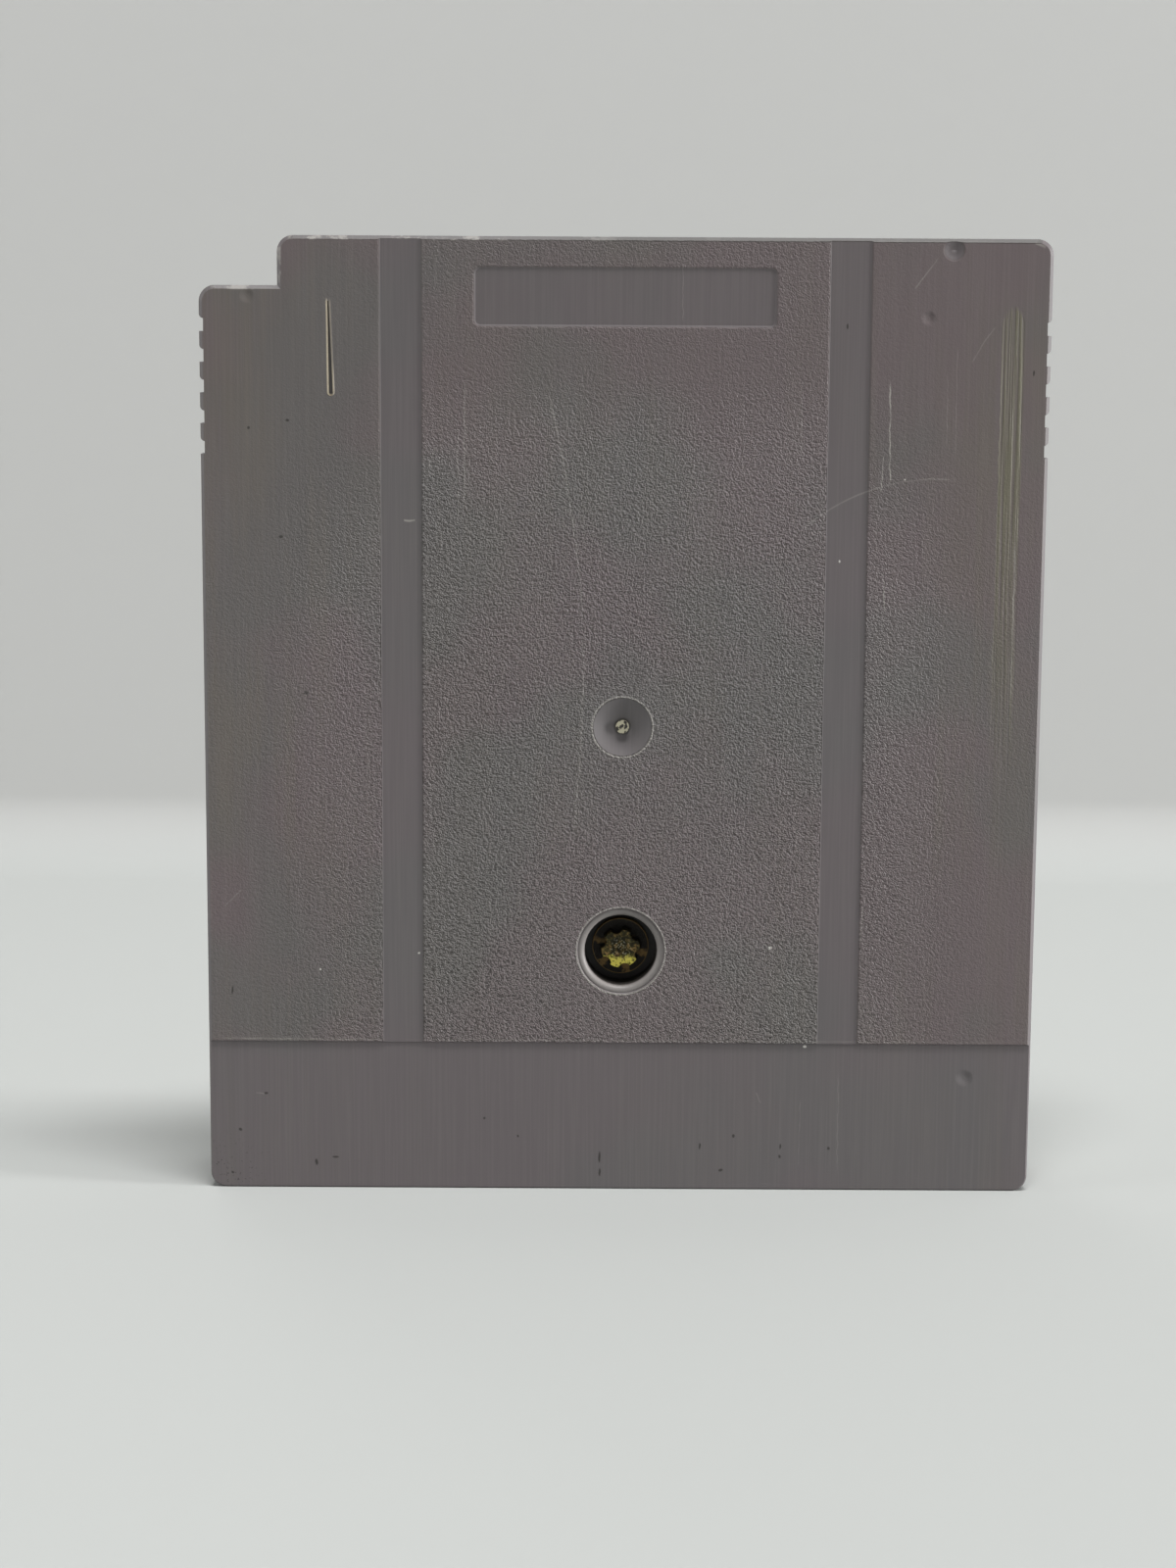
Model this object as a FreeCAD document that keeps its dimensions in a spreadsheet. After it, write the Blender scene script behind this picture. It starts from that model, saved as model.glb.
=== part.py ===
"""Handheld-console game cartridge: two moulded shells on one screw, and the board that they hold.

Millimetres, +Z up. The part stands on its mouth edge, centred on x and y. The back shell faces -Y, the
label side faces +Y, and the cut-away corner is at the top, on the -X side.
"""

import FreeCAD, Part
import math
import os
from types import SimpleNamespace

import Sketcher

FOLDER = "parts"
SHEET = "Sizes"
NEAR = 1e-4
FULL_TURN = 360
CUT_OVER = 1.0
UPRIGHT = "XZ_Plane"
LEVEL = "XY_Plane"
ACROSS = "YZ_Plane"
TO_FRONT = "+y"
TO_BACK = "-y"
TO_RIGHT = "+x"

SIZES = (
    ("width", 57.0, "case, side to side"),
    ("height", 65.5, "case, mouth edge to top edge"),
    ("thickness", 7.8, "case, back face to front face"),
    ("back_depth", 3.7, "back shell, face to rim"),
    ("seam_gap", 0.1, "shadow line between the two rims"),
    ("back_wall", 1.4, "back shell's main wall"),
    ("front_wall", 1.4, "front shell's main wall"),
    ("side_wall", 1.4, "side and top walls of both shells"),
    ("corner_radius", 1.1, "outline corners"),
    ("edge_bevel", 0.25, "bevel where a face meets the sides"),
    ("notch_width", 5.25, "cut-away corner, along the top"),
    ("notch_height", 3.3, "cut-away corner, below the top"),
    ("mouth_gap", 0.5, "board edge to the mouth's end, each side"),
    ("bottom_wall", 2.0, "corner blocks beside the mouth"),
    ("mouth_lead", 0.4, "chamfer inside the mouth's long edges"),
    ("grip_drop", 5.2, "top edge to the first grip groove"),
    ("grip_pitch", 2.04, "grip groove to groove"),
    ("grip_gap", 1.15, "grip groove's height"),
    ("grip_depth", 0.3, "grip groove's depth"),
    ("grip_count", 5, "grip grooves on each side"),
    ("stripe_inner", 13.55, "centre line to a smooth stripe"),
    ("stripe_width", 2.95, "smooth stripe"),
    ("stripe_depth", 0.06, "smooth stripe below the panels"),
    ("band_height", 10.55, "smooth band above the mouth edge"),
    ("band_depth", 0.14, "smooth band below the panels"),
    ("band_slope", 40.0, "lean of the step above the band, in degrees"),
    ("plaque_width", 20.4, "recessed plaque"),
    ("plaque_height", 4.05, "recessed plaque"),
    ("plaque_drop", 1.95, "top edge to the plaque"),
    ("plaque_depth", 0.08, "plaque below the panel"),
    ("plaque_corner", 0.5, "plaque's corner radius"),
    ("step_slope", 68.0, "lean of the steps around stripes and plaque, in degrees"),
    ("dish_height", 32.6, "mouth edge to the gate dish's centre"),
    ("dish_radius", 2.05, "gate dish's rim"),
    ("dish_depth", 0.5, "gate dish's middle below the panel"),
    ("gate_radius", 0.45, "broken-off gate stub"),
    ("gate_rise", 0.3, "gate stub above the dish"),
    ("dent_inset", 6.65, "side of the case to the dent in the top edge"),
    ("dent_drop", 0.75, "top edge to that dent's middle"),
    ("dent_radius", 0.75, "dent in the top edge"),
    ("dent_depth", 0.15, "dent in the top edge"),
    ("gouge_inset", 8.8, "side of the case to the gouge's lower end"),
    ("gouge_drop", 4.3, "top edge to the gouge"),
    ("gouge_length", 6.3, "gouge"),
    ("gouge_lean", 0.15, "gouge's upper end, further out than its lower end"),
    ("gouge_width", 0.28, "gouge's round lower end"),
    ("gouge_tip", 0.1, "gouge's upper end"),
    ("gouge_depth", 0.12, "gouge below the panel"),
    ("label_width", 42.5, "label recess on the front"),
    ("label_height", 37.0, "label recess on the front"),
    ("label_drop", 14.2, "top edge to the label recess"),
    ("label_depth", 0.35, "label recess below the front face"),
    ("label_corner", 2.0, "label recess's corner radius"),
    ("title_width", 43.0, "round-ended recess above the label"),
    ("title_height", 6.6, "round-ended recess above the label"),
    ("title_gap", 3.4, "label recess to the round-ended recess"),
    ("title_depth", 0.4, "round-ended recess below the front face"),
    ("arrow_width", 8.0, "insertion arrow recess"),
    ("arrow_height", 4.2, "insertion arrow recess"),
    ("arrow_gap", 2.4, "label recess to the arrow"),
    ("arrow_depth", 0.35, "arrow recess below the front face"),
    ("screw_height", 17.0, "mouth edge to the screw's axis"),
    ("seat_depth", 2.5, "back face to the screw's seat"),
    ("seat_thickness", 0.9, "web under the screw's head"),
    ("head_gap", 0.55, "head to the well's wall"),
    ("well_lip", 0.55, "rounded lip at the well's mouth, with its step"),
    ("well_step", 0.12, "step at the lip's outer rim"),
    ("step_run", 0.08, "that step's slope, towards the well"),
    ("bead_radius", 0.33, "rounding of the lip, which bulges past the step's foot"),
    ("boss_wall", 1.0, "wall of the screw bosses around the well"),
    ("head_radius", 1.95, "screw head's flange"),
    ("flange_height", 0.65, "screw head's flange"),
    ("lobe_height", 0.95, "lobed drive above the flange"),
    ("lobe_radius", 1.45, "lobed drive, tip of a lobe"),
    ("lobe_draft", 0.12, "lobed drive, taper from foot to top"),
    ("scallop_radius", 0.45, "hollow between two lobes"),
    ("scallop_reach", 1.5, "screw axis to a hollow's axis"),
    ("lobe_count", 6, "lobes around the drive"),
    ("lobe_turn", -18.0, "where the screw came to rest, in degrees"),
    ("dimple_radius", 0.5, "hollow in the middle of the drive"),
    ("dimple_depth", 0.3, "hollow in the middle of the drive"),
    ("shank_radius", 1.0, "screw's shank"),
    ("shank_gap", 0.15, "shank to the hole in its seat"),
    ("thread_gap", 0.03, "shank to the pilot hole"),
    ("tip_length", 0.6, "pointed end of the shank"),
    ("tip_gap", 0.2, "screw tip to the end of the pilot hole"),
    ("pilot_floor", 0.6, "wall left past the pilot hole"),
    ("lip_thickness", 0.65, "locating lip on the back shell"),
    ("lip_height", 0.8, "locating lip above the rim"),
    ("lip_gap", 0.08, "lip to the rebate that takes it"),
    ("lip_foot", 0.8, "mouth edge to the lip's ends"),
    ("catch_depth", 0.7, "catch inside the back shell's side wall"),
    ("catch_height", 0.7, "catch, along the thickness"),
    ("hook_gap", 0.15, "hook to catch"),
    ("hook_thickness", 0.65, "hook's stem"),
    ("hook_width", 4.0, "hook and catch, along the side"),
    ("toe_height", 0.6, "hook's toe"),
    ("hook_low", 33.0, "mouth edge to the lower hooks"),
    ("hook_drop", 6.8, "inner shoulder to the upper hooks"),
    ("board_gap", 0.35, "hook stem to the board's edge"),
    ("board_lift", 1.5, "mouth edge to the board's edge"),
    ("board_height", 45.5, "board, contact edge to top edge"),
    ("board_thickness", 1.0, "board"),
    ("board_standoff", 1.0, "back wall to the board"),
    ("board_corner", 1.2, "cut corners at the contact edge"),
    ("hole_gap", 0.3, "screw boss to the board's hole"),
    ("rail_width", 1.3, "rails that carry the board's sides"),
    ("rail_overhang", 0.1, "rail past the board's edge"),
    ("rail_margin", 2.5, "board's ends to the rails' ends"),
    ("clamp_length", 5.0, "ribs that hold the board down"),
    ("clamp_width", 1.0, "ribs that hold the board down"),
    ("clamp_inset", 0.5, "clamp rib to the board's edge or contacts"),
    ("contact_pitch", 1.5, "contact to contact"),
    ("contact_width", 1.0, "contact"),
    ("contact_length", 7.0, "contact"),
    ("contact_thickness", 0.1, "contact"),
    ("contact_margin", 1.6, "outer contact's middle to the board's edge, at least"),
    ("contact_inset", 0.3, "board's contact edge to the contacts"),
    ("chip_standoff", 0.1, "board to a chip's underside"),
    ("chip_body", 1.9, "chip's moulded body"),
    ("chip_draft", 8.0, "chip's side taper in degrees"),
    ("pin_mark", 0.5, "first-pin dimple's radius"),
    ("pin_mark_inset", 1.4, "chip's edge to the first-pin dimple"),
    ("pin_mark_depth", 0.1, "first-pin dimple"),
    ("lead_reach", 1.4, "chip's side to a lead's tip"),
    ("lead_foot", 0.7, "flat foot of a lead"),
    ("lead_thickness", 0.15, "lead"),
    ("lead_width", 0.4, "lead"),
    ("lead_pitch", 1.27, "lead to lead"),
    ("lead_margin", 0.6, "chip's end to the first lead's middle, at least"),
    ("memory_length", 20.5, "memory chip"),
    ("memory_width", 11.3, "memory chip"),
    ("memory_offset", 11.5, "centre line to the memory chip"),
    ("memory_drop", 13.0, "board's top edge to the memory chip's middle"),
    ("controller_length", 15.4, "bank controller"),
    ("controller_width", 7.5, "bank controller"),
    ("controller_offset", 13.2, "centre line to the bank controller"),
    ("controller_lift", 16.0, "board's contact edge to the bank controller's middle"),
    ("reset_length", 5.1, "reset chip"),
    ("reset_width", 3.9, "reset chip"),
    ("reset_offset", 11.5, "centre line to the reset chip"),
    ("reset_lift", 14.2, "board's contact edge to the reset chip's middle"),
    ("cell_radius", 8.0, "coin cell's can"),
    ("cell_thickness", 1.6, "coin cell"),
    ("cell_step", 0.3, "coin cell's cap below the can"),
    ("cell_inset", 1.2, "can's edge to the cap"),
    ("cell_offset", 12.5, "centre line to the coin cell"),
    ("cell_drop", 13.2, "board's top edge to the coin cell's middle"),
    ("tab_thickness", 0.15, "cell tabs"),
    ("tab_width", 4.0, "cell tabs"),
    ("tab_overlap", 3.0, "cell's middle to the welded end of a tab"),
    ("tab_clear", 0.4, "cell's can to the bent tab"),
    ("tab_foot", 1.8, "soldered end of a tab"),
    ("passive_offset", 19.0, "centre line to the chip capacitors and resistors"),
    ("passive_lift", 11.6, "board's contact edge to the first of them"),
    ("passive_pitch", 2.6, "one to the next"),
    ("passive_length", 2.0, "capacitor or resistor, terminals included"),
    ("passive_width", 1.25, "capacitor or resistor"),
    ("capacitor_height", 0.9, "capacitor"),
    ("resistor_height", 0.55, "resistor"),
    ("terminal_length", 0.4, "soldered end of a capacitor or resistor"),
    ("capacitor_count", 2, "capacitors"),
    ("resistor_count", 2, "resistors"),
)


class Size:
    """A number with the sheet expression that gives it, so that what is worked out stays bound."""

    def __init__(self, value, text):
        self.value = float(value)
        self.text = text

    def combined(self, other, sign, value):
        return Size(value, f"({self.text} {sign} {other.text})")

    def __add__(self, other):
        other = as_size(other)
        return self.combined(other, "+", self.value + other.value)

    def __sub__(self, other):
        other = as_size(other)
        return self.combined(other, "-", self.value - other.value)

    def __mul__(self, other):
        other = as_size(other)
        return self.combined(other, "*", self.value * other.value)

    def __truediv__(self, other):
        other = as_size(other)
        return self.combined(other, "/", self.value / other.value)

    def __rsub__(self, other):
        return as_size(other) - self

    def __neg__(self):
        return self * -1

    __radd__ = __add__
    __rmul__ = __mul__


def as_size(number):
    """A Size, or a plain number made one."""
    return number if isinstance(number, Size) else Size(number, f"({number})")


def whole(size):
    """The whole number at or below a size."""
    return Size(math.floor(size.value), f"floor({size.text})")


def root(size):
    """The square root of a size."""
    return Size(math.sqrt(size.value), f"sqrt({size.text})")


def polar(radius, angle):
    """Across and up of a point at a radius and an angle in degrees."""
    turned = math.radians(angle.value)
    across = Size(radius.value * math.cos(turned), f"({radius.text} * cos({angle.text} * 1deg))")
    up = Size(radius.value * math.sin(turned), f"({radius.text} * sin({angle.text} * 1deg))")
    return across, up


def bind(item, prop, size):
    """Bind a property of a document object to a size."""
    item.setExpression(prop, as_size(size).text)


def make_sheet(doc):
    """Write the driving dimensions into the sheet, and return them as sizes by name."""
    sheet = doc.addObject("Spreadsheet::Sheet", SHEET)
    sizes = SimpleNamespace()
    for row, (alias, value, meaning) in enumerate(SIZES, 1):
        sheet.set(f"A{row}", meaning)
        sheet.set(f"B{row}", str(value))
        sheet.setAlias(f"B{row}", alias)
        setattr(sizes, alias, Size(value, f"{SHEET}.{alias}"))
    doc.recompute()
    return sizes


def add_levels(dim):
    """Work out the planes and half-sizes that several pieces share."""
    dim.half_width = dim.width / 2
    dim.back = -(dim.thickness / 2)
    dim.front = dim.thickness / 2
    dim.seam = dim.back + dim.back_depth
    dim.rim = dim.seam + dim.seam_gap
    dim.back_inside = dim.back + dim.back_wall
    dim.front_inside = dim.front - dim.front_wall
    dim.side_inside = dim.half_width - dim.side_wall
    dim.seat = dim.back + dim.seat_depth
    dim.boss_end = dim.seat + dim.seat_thickness
    dim.well_radius = dim.head_radius + dim.head_gap
    dim.boss_radius = dim.well_radius + dim.boss_wall
    dim.pilot_end = dim.front - dim.label_depth - dim.pilot_floor
    dim.stem_outside = dim.side_inside - dim.catch_depth - dim.hook_gap
    dim.stem_inside = dim.stem_outside - dim.hook_thickness
    dim.board_half = dim.stem_inside - dim.board_gap
    dim.board_top = dim.board_lift + dim.board_height
    dim.board_back = dim.back_inside + dim.board_standoff
    dim.board_front = dim.board_back + dim.board_thickness
    dim.mouth_half = dim.board_half + dim.mouth_gap
    dim.hook_high = dim.height - dim.notch_height - dim.side_wall - dim.hook_drop


def new_body(doc, label):
    """A body whose label names its file."""
    body = doc.addObject("PartDesign::Body", label)
    body.Label = label
    return body


def new_sketch(body, name, role, level, across=0, up=0):
    """A sketch on one of the body's origin planes, moved to a level on the axis through that plane."""
    sketch = body.newObject("Sketcher::SketchObject", f"{body.Label}_{name}_sketch")
    plane = next(item for item in body.Origin.OriginFeatures if item.Role == role)
    sketch.AttachmentSupport = (plane, [""])
    sketch.MapMode = "FlatFace"
    bind(sketch, "AttachmentOffset.Base.x", across)
    bind(sketch, "AttachmentOffset.Base.y", up)
    bind(sketch, "AttachmentOffset.Base.z", -level if role == UPRIGHT else level)
    return sketch


def dimension(sketch, kind, size, *geometry):
    """Add one driving constraint and bind it to a size."""
    index = sketch.addConstraint(Sketcher.Constraint(kind, *geometry, size.value))
    bind(sketch, f"Constraints[{index}]", size)


def arc_between(start, end, radius):
    """Arc from start to end, turning left for a positive radius and right for a negative one."""
    chord = end - start
    rise = math.sqrt(max(radius ** 2 - chord.Length ** 2 / 4, 0))
    left = FreeCAD.Vector(-chord.y, chord.x, 0).normalize()
    centre = start + chord / 2 + left * math.copysign(rise, radius)
    circle = Part.Circle(centre, FreeCAD.Vector(0, 0, 1), abs(radius))
    angles = [math.atan2(point.y - centre.y, point.x - centre.x) for point in (start, end)]
    if radius < 0:
        angles.reverse()
    return Part.ArcOfCircle(circle, *angles)


def add_loop(sketch, corners):
    """Add a closed outline. A corner is (across, up), with a third size where an arc leaves it."""
    corners = [tuple(as_size(size) for size in corner) for corner in corners]
    points = [FreeCAD.Vector(corner[0].value, corner[1].value, 0) for corner in corners]
    first = sketch.GeometryCount
    ends = []
    for index, corner in enumerate(corners):
        start = points[index]
        end = points[(index + 1) % len(points)]
        bowed = len(corner) > 2
        edge = arc_between(start, end, corner[2].value) if bowed else Part.LineSegment(start, end)
        sketch.addGeometry(edge)
        ends.append((2, 1) if bowed and corner[2].value < 0 else (1, 2))
    for index, corner in enumerate(corners):
        follower = (index + 1) % len(corners)
        joined = (first + index, ends[index][1], first + follower, ends[follower][0])
        sketch.addConstraint(Sketcher.Constraint("Coincident", *joined))
        dimension(sketch, "DistanceX", corner[0], -1, 1, first + index, ends[index][0])
        dimension(sketch, "DistanceY", corner[1], -1, 1, first + index, ends[index][0])
        if len(corner) > 2:
            turn = 1 if corner[2].value > 0 else -1
            dimension(sketch, "Radius", corner[2] * turn, first + index)
    return sketch


def add_circle(sketch, across, up, radius):
    """Add a circle."""
    middle = FreeCAD.Vector(as_size(across).value, as_size(up).value, 0)
    index = sketch.addGeometry(Part.Circle(middle, FreeCAD.Vector(0, 0, 1), radius.value))
    dimension(sketch, "DistanceX", as_size(across), -1, 1, index, 3)
    dimension(sketch, "DistanceY", as_size(up), -1, 1, index, 3)
    dimension(sketch, "Radius", radius, index)
    return sketch


def rectangle(left, right, low, high):
    """Corners of a rectangle."""
    return [(left, low), (right, low), (right, high), (left, high)]


def rounded_rectangle(left, right, low, high, radius):
    """Corners of a rectangle with rounded corners."""
    return [
        (left + radius, low),
        (right - radius, low, radius),
        (right, low + radius),
        (right, high - radius, radius),
        (right - radius, high),
        (left + radius, high, radius),
        (left, high - radius),
        (left, low + radius, radius),
    ]


def add_feature(body, kind, name):
    """Add a feature of the body and make it the body's result."""
    feature = body.newObject(f"PartDesign::{kind}", f"{body.Label}_{name}")
    body.Tip = feature
    return feature


def pad(body, name, sketch, length, towards):
    """Extrude a sketch."""
    feature = add_feature(body, "Pad", name)
    feature.Profile = sketch
    feature.Reversed = towards == TO_FRONT
    bind(feature, "Length", length)
    return feature


def pocket(body, name, sketch, length, towards, slope=0):
    """Cut a sketch out of the body, narrowing with depth where its walls have a slope."""
    feature = add_feature(body, "Pocket", name)
    feature.Profile = sketch
    feature.Reversed = towards == TO_BACK
    bind(feature, "Length", length)
    bind(feature, "TaperAngle", slope * -1)
    return feature


def turn(body, kind, name, sketch):
    """Add (Revolution) or cut (Groove) a sketch turned about its own vertical axis."""
    feature = add_feature(body, kind, name)
    feature.Profile = sketch
    feature.ReferenceAxis = (sketch, ["V_Axis"])
    feature.Angle = FULL_TURN
    return feature


def row_of(body, name, original, axis, count, pitch, reverse=False):
    """Repeat a feature in a row along an axis of its sketch."""
    feature = add_feature(body, "LinearPattern", name)
    feature.Originals = [original]
    feature.Direction = (original.Profile[0], [axis])
    feature.Reversed = reverse
    bind(feature, "Length", (count - 1) * pitch)
    bind(feature, "Occurrences", count)
    return feature


def ring_of(body, name, original, count):
    """Repeat a feature in a ring about its sketch's origin."""
    feature = add_feature(body, "PolarPattern", name)
    feature.Originals = [original]
    feature.Axis = (original.Profile[0], ["N_Axis"])
    feature.Angle = FULL_TURN
    bind(feature, "Occurrences", count)
    return feature


def edges_where(feature, accept):
    """Names of a feature's edges that pass a test."""
    feature.Document.recompute()
    return [f"Edge{number}" for number, edge in enumerate(feature.Shape.Edges, 1) if accept(edge)]


def dress_edges(body, kind, name, base, edges, prop, size):
    """Fillet or chamfer named edges."""
    feature = add_feature(body, kind, name)
    feature.Base = (base, edges)
    bind(feature, prop, size)
    return feature


def case_corners(dim, inset):
    """The case's outline, moved inwards: a rectangle without its top corner on the -X side."""
    right = dim.half_width - inset
    top = dim.height - inset
    notch = dim.notch_width + inset - dim.half_width
    shoulder = dim.height - dim.notch_height - inset
    return [
        (-right, inset),
        (right, inset),
        (right, top),
        (notch, top),
        (notch, shoulder),
        (-right, shoulder),
    ]


def wall_band(dim, outer, inner, foot):
    """A band along the side and top walls, open at the mouth, between two insets of the outline."""
    outside = case_corners(dim, outer)
    inside = case_corners(dim, inner)
    outside[0] = (outside[0][0], foot)
    outside[1] = (outside[1][0], foot)
    inside[0] = (inside[0][0], foot)
    inside[1] = (inside[1][0], foot)
    return outside[1:] + outside[:1] + inside[:1] + inside[:0:-1]


def cavity_corners(dim):
    """The hollow inside either shell, with the mouth left open."""
    bottom, _, top_right, notch_top, notch, shoulder = case_corners(dim, dim.side_wall)
    below = -CUT_OVER
    return [
        (-dim.mouth_half, below),
        (dim.mouth_half, below),
        (dim.mouth_half, dim.bottom_wall),
        (dim.side_inside, dim.bottom_wall),
        top_right,
        notch_top,
        notch,
        shoulder,
        (bottom[0], dim.bottom_wall),
        (-dim.mouth_half, dim.bottom_wall),
    ]


def both_sides(make_corners):
    """The same outline on the +X side and, mirrored, on the -X side."""
    right = make_corners()
    left = [tuple([-corner[0], corner[1]] + [-bow for bow in corner[2:]]) for corner in right]
    return right, left


def shell_block(body, dim, face, depth, towards):
    """A shell's outer block: the outline extruded, with round corners and a bevelled face edge."""
    sketch = new_sketch(body, "outline", UPRIGHT, face)
    add_loop(sketch, case_corners(dim, as_size(0)))
    block = pad(body, "block", sketch, depth, towards)
    notch_x = dim.notch_width.value - dim.half_width.value
    notch_z = dim.height.value - dim.notch_height.value

    def outer_corner(edge):
        start = edge.Vertexes[0].Point
        end = edge.Vertexes[-1].Point
        along_thickness = abs(start.x - end.x) < NEAR and abs(start.z - end.z) < NEAR
        inner = abs(start.x - notch_x) < NEAR and abs(start.z - notch_z) < NEAR
        return along_thickness and not inner

    def face_edge(edge):
        box = edge.BoundBox
        return abs(box.YMin - face.value) < NEAR and abs(box.YMax - face.value) < NEAR

    edges = edges_where(block, outer_corner)
    corners = dress_edges(body, "Fillet", "corners", block, edges, "Radius", dim.corner_radius)
    edges = edges_where(corners, face_edge)
    dress_edges(body, "Chamfer", "face_edge", corners, edges, "Size", dim.edge_bevel)


def hollow_out(body, dim, rim, depth, towards, inside):
    """Cut the hollow from a shell's rim, and ease the mouth's long edge."""
    sketch = new_sketch(body, "hollow", UPRIGHT, rim)
    add_loop(sketch, cavity_corners(dim))
    hollow = pocket(body, "hollow", sketch, depth, towards)

    def mouth_edge(edge):
        box = edge.BoundBox
        low = abs(box.ZMax) < NEAR
        return low and abs(box.YMin - inside.value) < NEAR and abs(box.YMax - inside.value) < NEAR

    edges = edges_where(hollow, mouth_edge)
    dress_edges(body, "Chamfer", "mouth_lead", hollow, edges, "Size", dim.mouth_lead)


def cut_grips(body, dim):
    """Finger grips on both sides: grooves with a sharp lower ledge and a rounded upper flank."""
    top = dim.height - dim.grip_drop
    low = top - dim.grip_gap
    outside = dim.half_width + CUT_OVER
    floor = dim.half_width - dim.grip_depth

    def groove():
        return [
            (outside, low),
            (outside, top),
            (dim.half_width, top, -dim.grip_depth),
            (floor, top - dim.grip_depth),
            (floor, low),
        ]

    sketch = new_sketch(body, "grip", UPRIGHT, dim.back - CUT_OVER)
    for corners in both_sides(groove):
        add_loop(sketch, corners)
    cut = pocket(body, "grip", sketch, dim.thickness + CUT_OVER * 2, TO_FRONT)
    row_of(body, "grips", cut, "V_Axis", dim.grip_count, dim.grip_pitch, reverse=True)


def add_boss(body, dim, start, length, towards):
    """A round boss on the screw's axis."""
    sketch = new_sketch(body, "boss", UPRIGHT, start)
    add_circle(sketch, 0, dim.screw_height, dim.boss_radius)
    pad(body, "boss", sketch, length, towards)


def side_blocks(body, name, level, depth, towards, inner, outer, spans):
    """Equal blocks on both sides of the case, one for each (low, high) span."""
    sketch = new_sketch(body, name, UPRIGHT, level)
    for low, high in spans:
        for corners in both_sides(lambda: rectangle(inner, outer, low, high)):
            add_loop(sketch, corners)
    pad(body, name, sketch, depth, towards)


def hook_spans(dim):
    """Lower and upper ends of the hooks and of the catches that they hold."""
    half = dim.hook_width / 2
    return [(middle - half, middle + half) for middle in (dim.hook_low, dim.hook_high)]


def back_face_recesses(body, dim):
    """The smooth stripes, the smooth lower band and the plaque, sunk into the grained face."""
    above = dim.height + CUT_OVER
    in_band = dim.band_height / 2
    stripes = new_sketch(body, "stripes", UPRIGHT, dim.back)
    outer = dim.stripe_inner + dim.stripe_width
    for corners in both_sides(lambda: rectangle(dim.stripe_inner, outer, in_band, above)):
        add_loop(stripes, corners)
    pocket(body, "stripes", stripes, dim.stripe_depth, TO_FRONT, dim.step_slope)
    band = new_sketch(body, "band", UPRIGHT, dim.back)
    beside = dim.half_width + CUT_OVER
    add_loop(band, rectangle(-beside, beside, -CUT_OVER, dim.band_height))
    pocket(body, "band", band, dim.band_depth, TO_FRONT, dim.band_slope)
    plaque = new_sketch(body, "plaque", UPRIGHT, dim.back)
    top = dim.height - dim.plaque_drop
    half = dim.plaque_width / 2
    add_loop(plaque, rounded_rectangle(-half, half, top - dim.plaque_height, top, dim.plaque_corner))
    pocket(body, "plaque", plaque, dim.plaque_depth, TO_FRONT, dim.step_slope)


def sink_dish(body, dim, name, across, up, radius, depth):
    """Cut a round dish, a cap of a sphere, into the back face."""
    sketch = new_sketch(body, name, LEVEL, up, across=across)
    outside = dim.back - CUT_OVER
    sphere = (radius * radius + depth * depth) / (depth * 2)
    add_loop(sketch, [(0, outside), (radius, outside), (radius, dim.back, sphere), (0, dim.back + depth)])
    turn(body, "Groove", name, sketch)


def gate_dish(body, dim):
    """The shallow round dish of the moulding gate, with the stub that is left in it."""
    sink_dish(body, dim, "dish", 0, dim.dish_height, dim.dish_radius, dim.dish_depth)
    floor = dim.back + dim.dish_depth
    stub = new_sketch(body, "gate", UPRIGHT, floor + dim.gate_rise)
    add_circle(stub, 0, dim.dish_height, dim.gate_radius)
    pad(body, "gate", stub, dim.gate_rise * 2, TO_BACK)


def screw_well(body, dim):
    """The screw's well: a step, a beaded lip, a straight bore, the seat and the clearance hole."""
    sketch = new_sketch(body, "well", LEVEL, dim.screw_height)
    outside = dim.back - CUT_OVER
    past = dim.boss_end + CUT_OVER
    rim = dim.well_radius + dim.well_lip
    step = dim.back + dim.well_step
    foot = rim - dim.step_run
    outward = foot - dim.well_radius - dim.bead_radius
    fall = root(dim.bead_radius * dim.bead_radius - outward * outward)
    hole = dim.shank_radius + dim.shank_gap
    add_loop(sketch, [
        (0, outside),
        (rim, outside),
        (rim, dim.back),
        (foot, step, -dim.bead_radius),
        (dim.well_radius, step + fall),
        (dim.well_radius, dim.seat),
        (hole, dim.seat),
        (hole, past),
        (0, past),
    ])
    turn(body, "Groove", "well", sketch)


def worn_places(body, dim):
    """A dent in the top edge, and the upright gouge in the panel below the cut-away corner."""
    beside = dim.half_width - dim.dent_inset
    sink_dish(body, dim, "dent", beside, dim.height - dim.dent_drop, dim.dent_radius, dim.dent_depth)
    gouge = new_sketch(body, "gouge", UPRIGHT, dim.back)
    middle = dim.gouge_inset - dim.half_width
    end = dim.gouge_width / 2
    high = dim.height - dim.gouge_drop
    low = high - dim.gouge_length + end
    tip = middle - dim.gouge_lean
    half_tip = dim.gouge_tip / 2
    add_loop(gouge, [
        (middle - end, low, end),
        (middle, low - end, end),
        (middle + end, low),
        (tip + half_tip, high),
        (tip - half_tip, high),
    ])
    pocket(body, "gouge", gouge, dim.gouge_depth, TO_FRONT)


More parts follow.
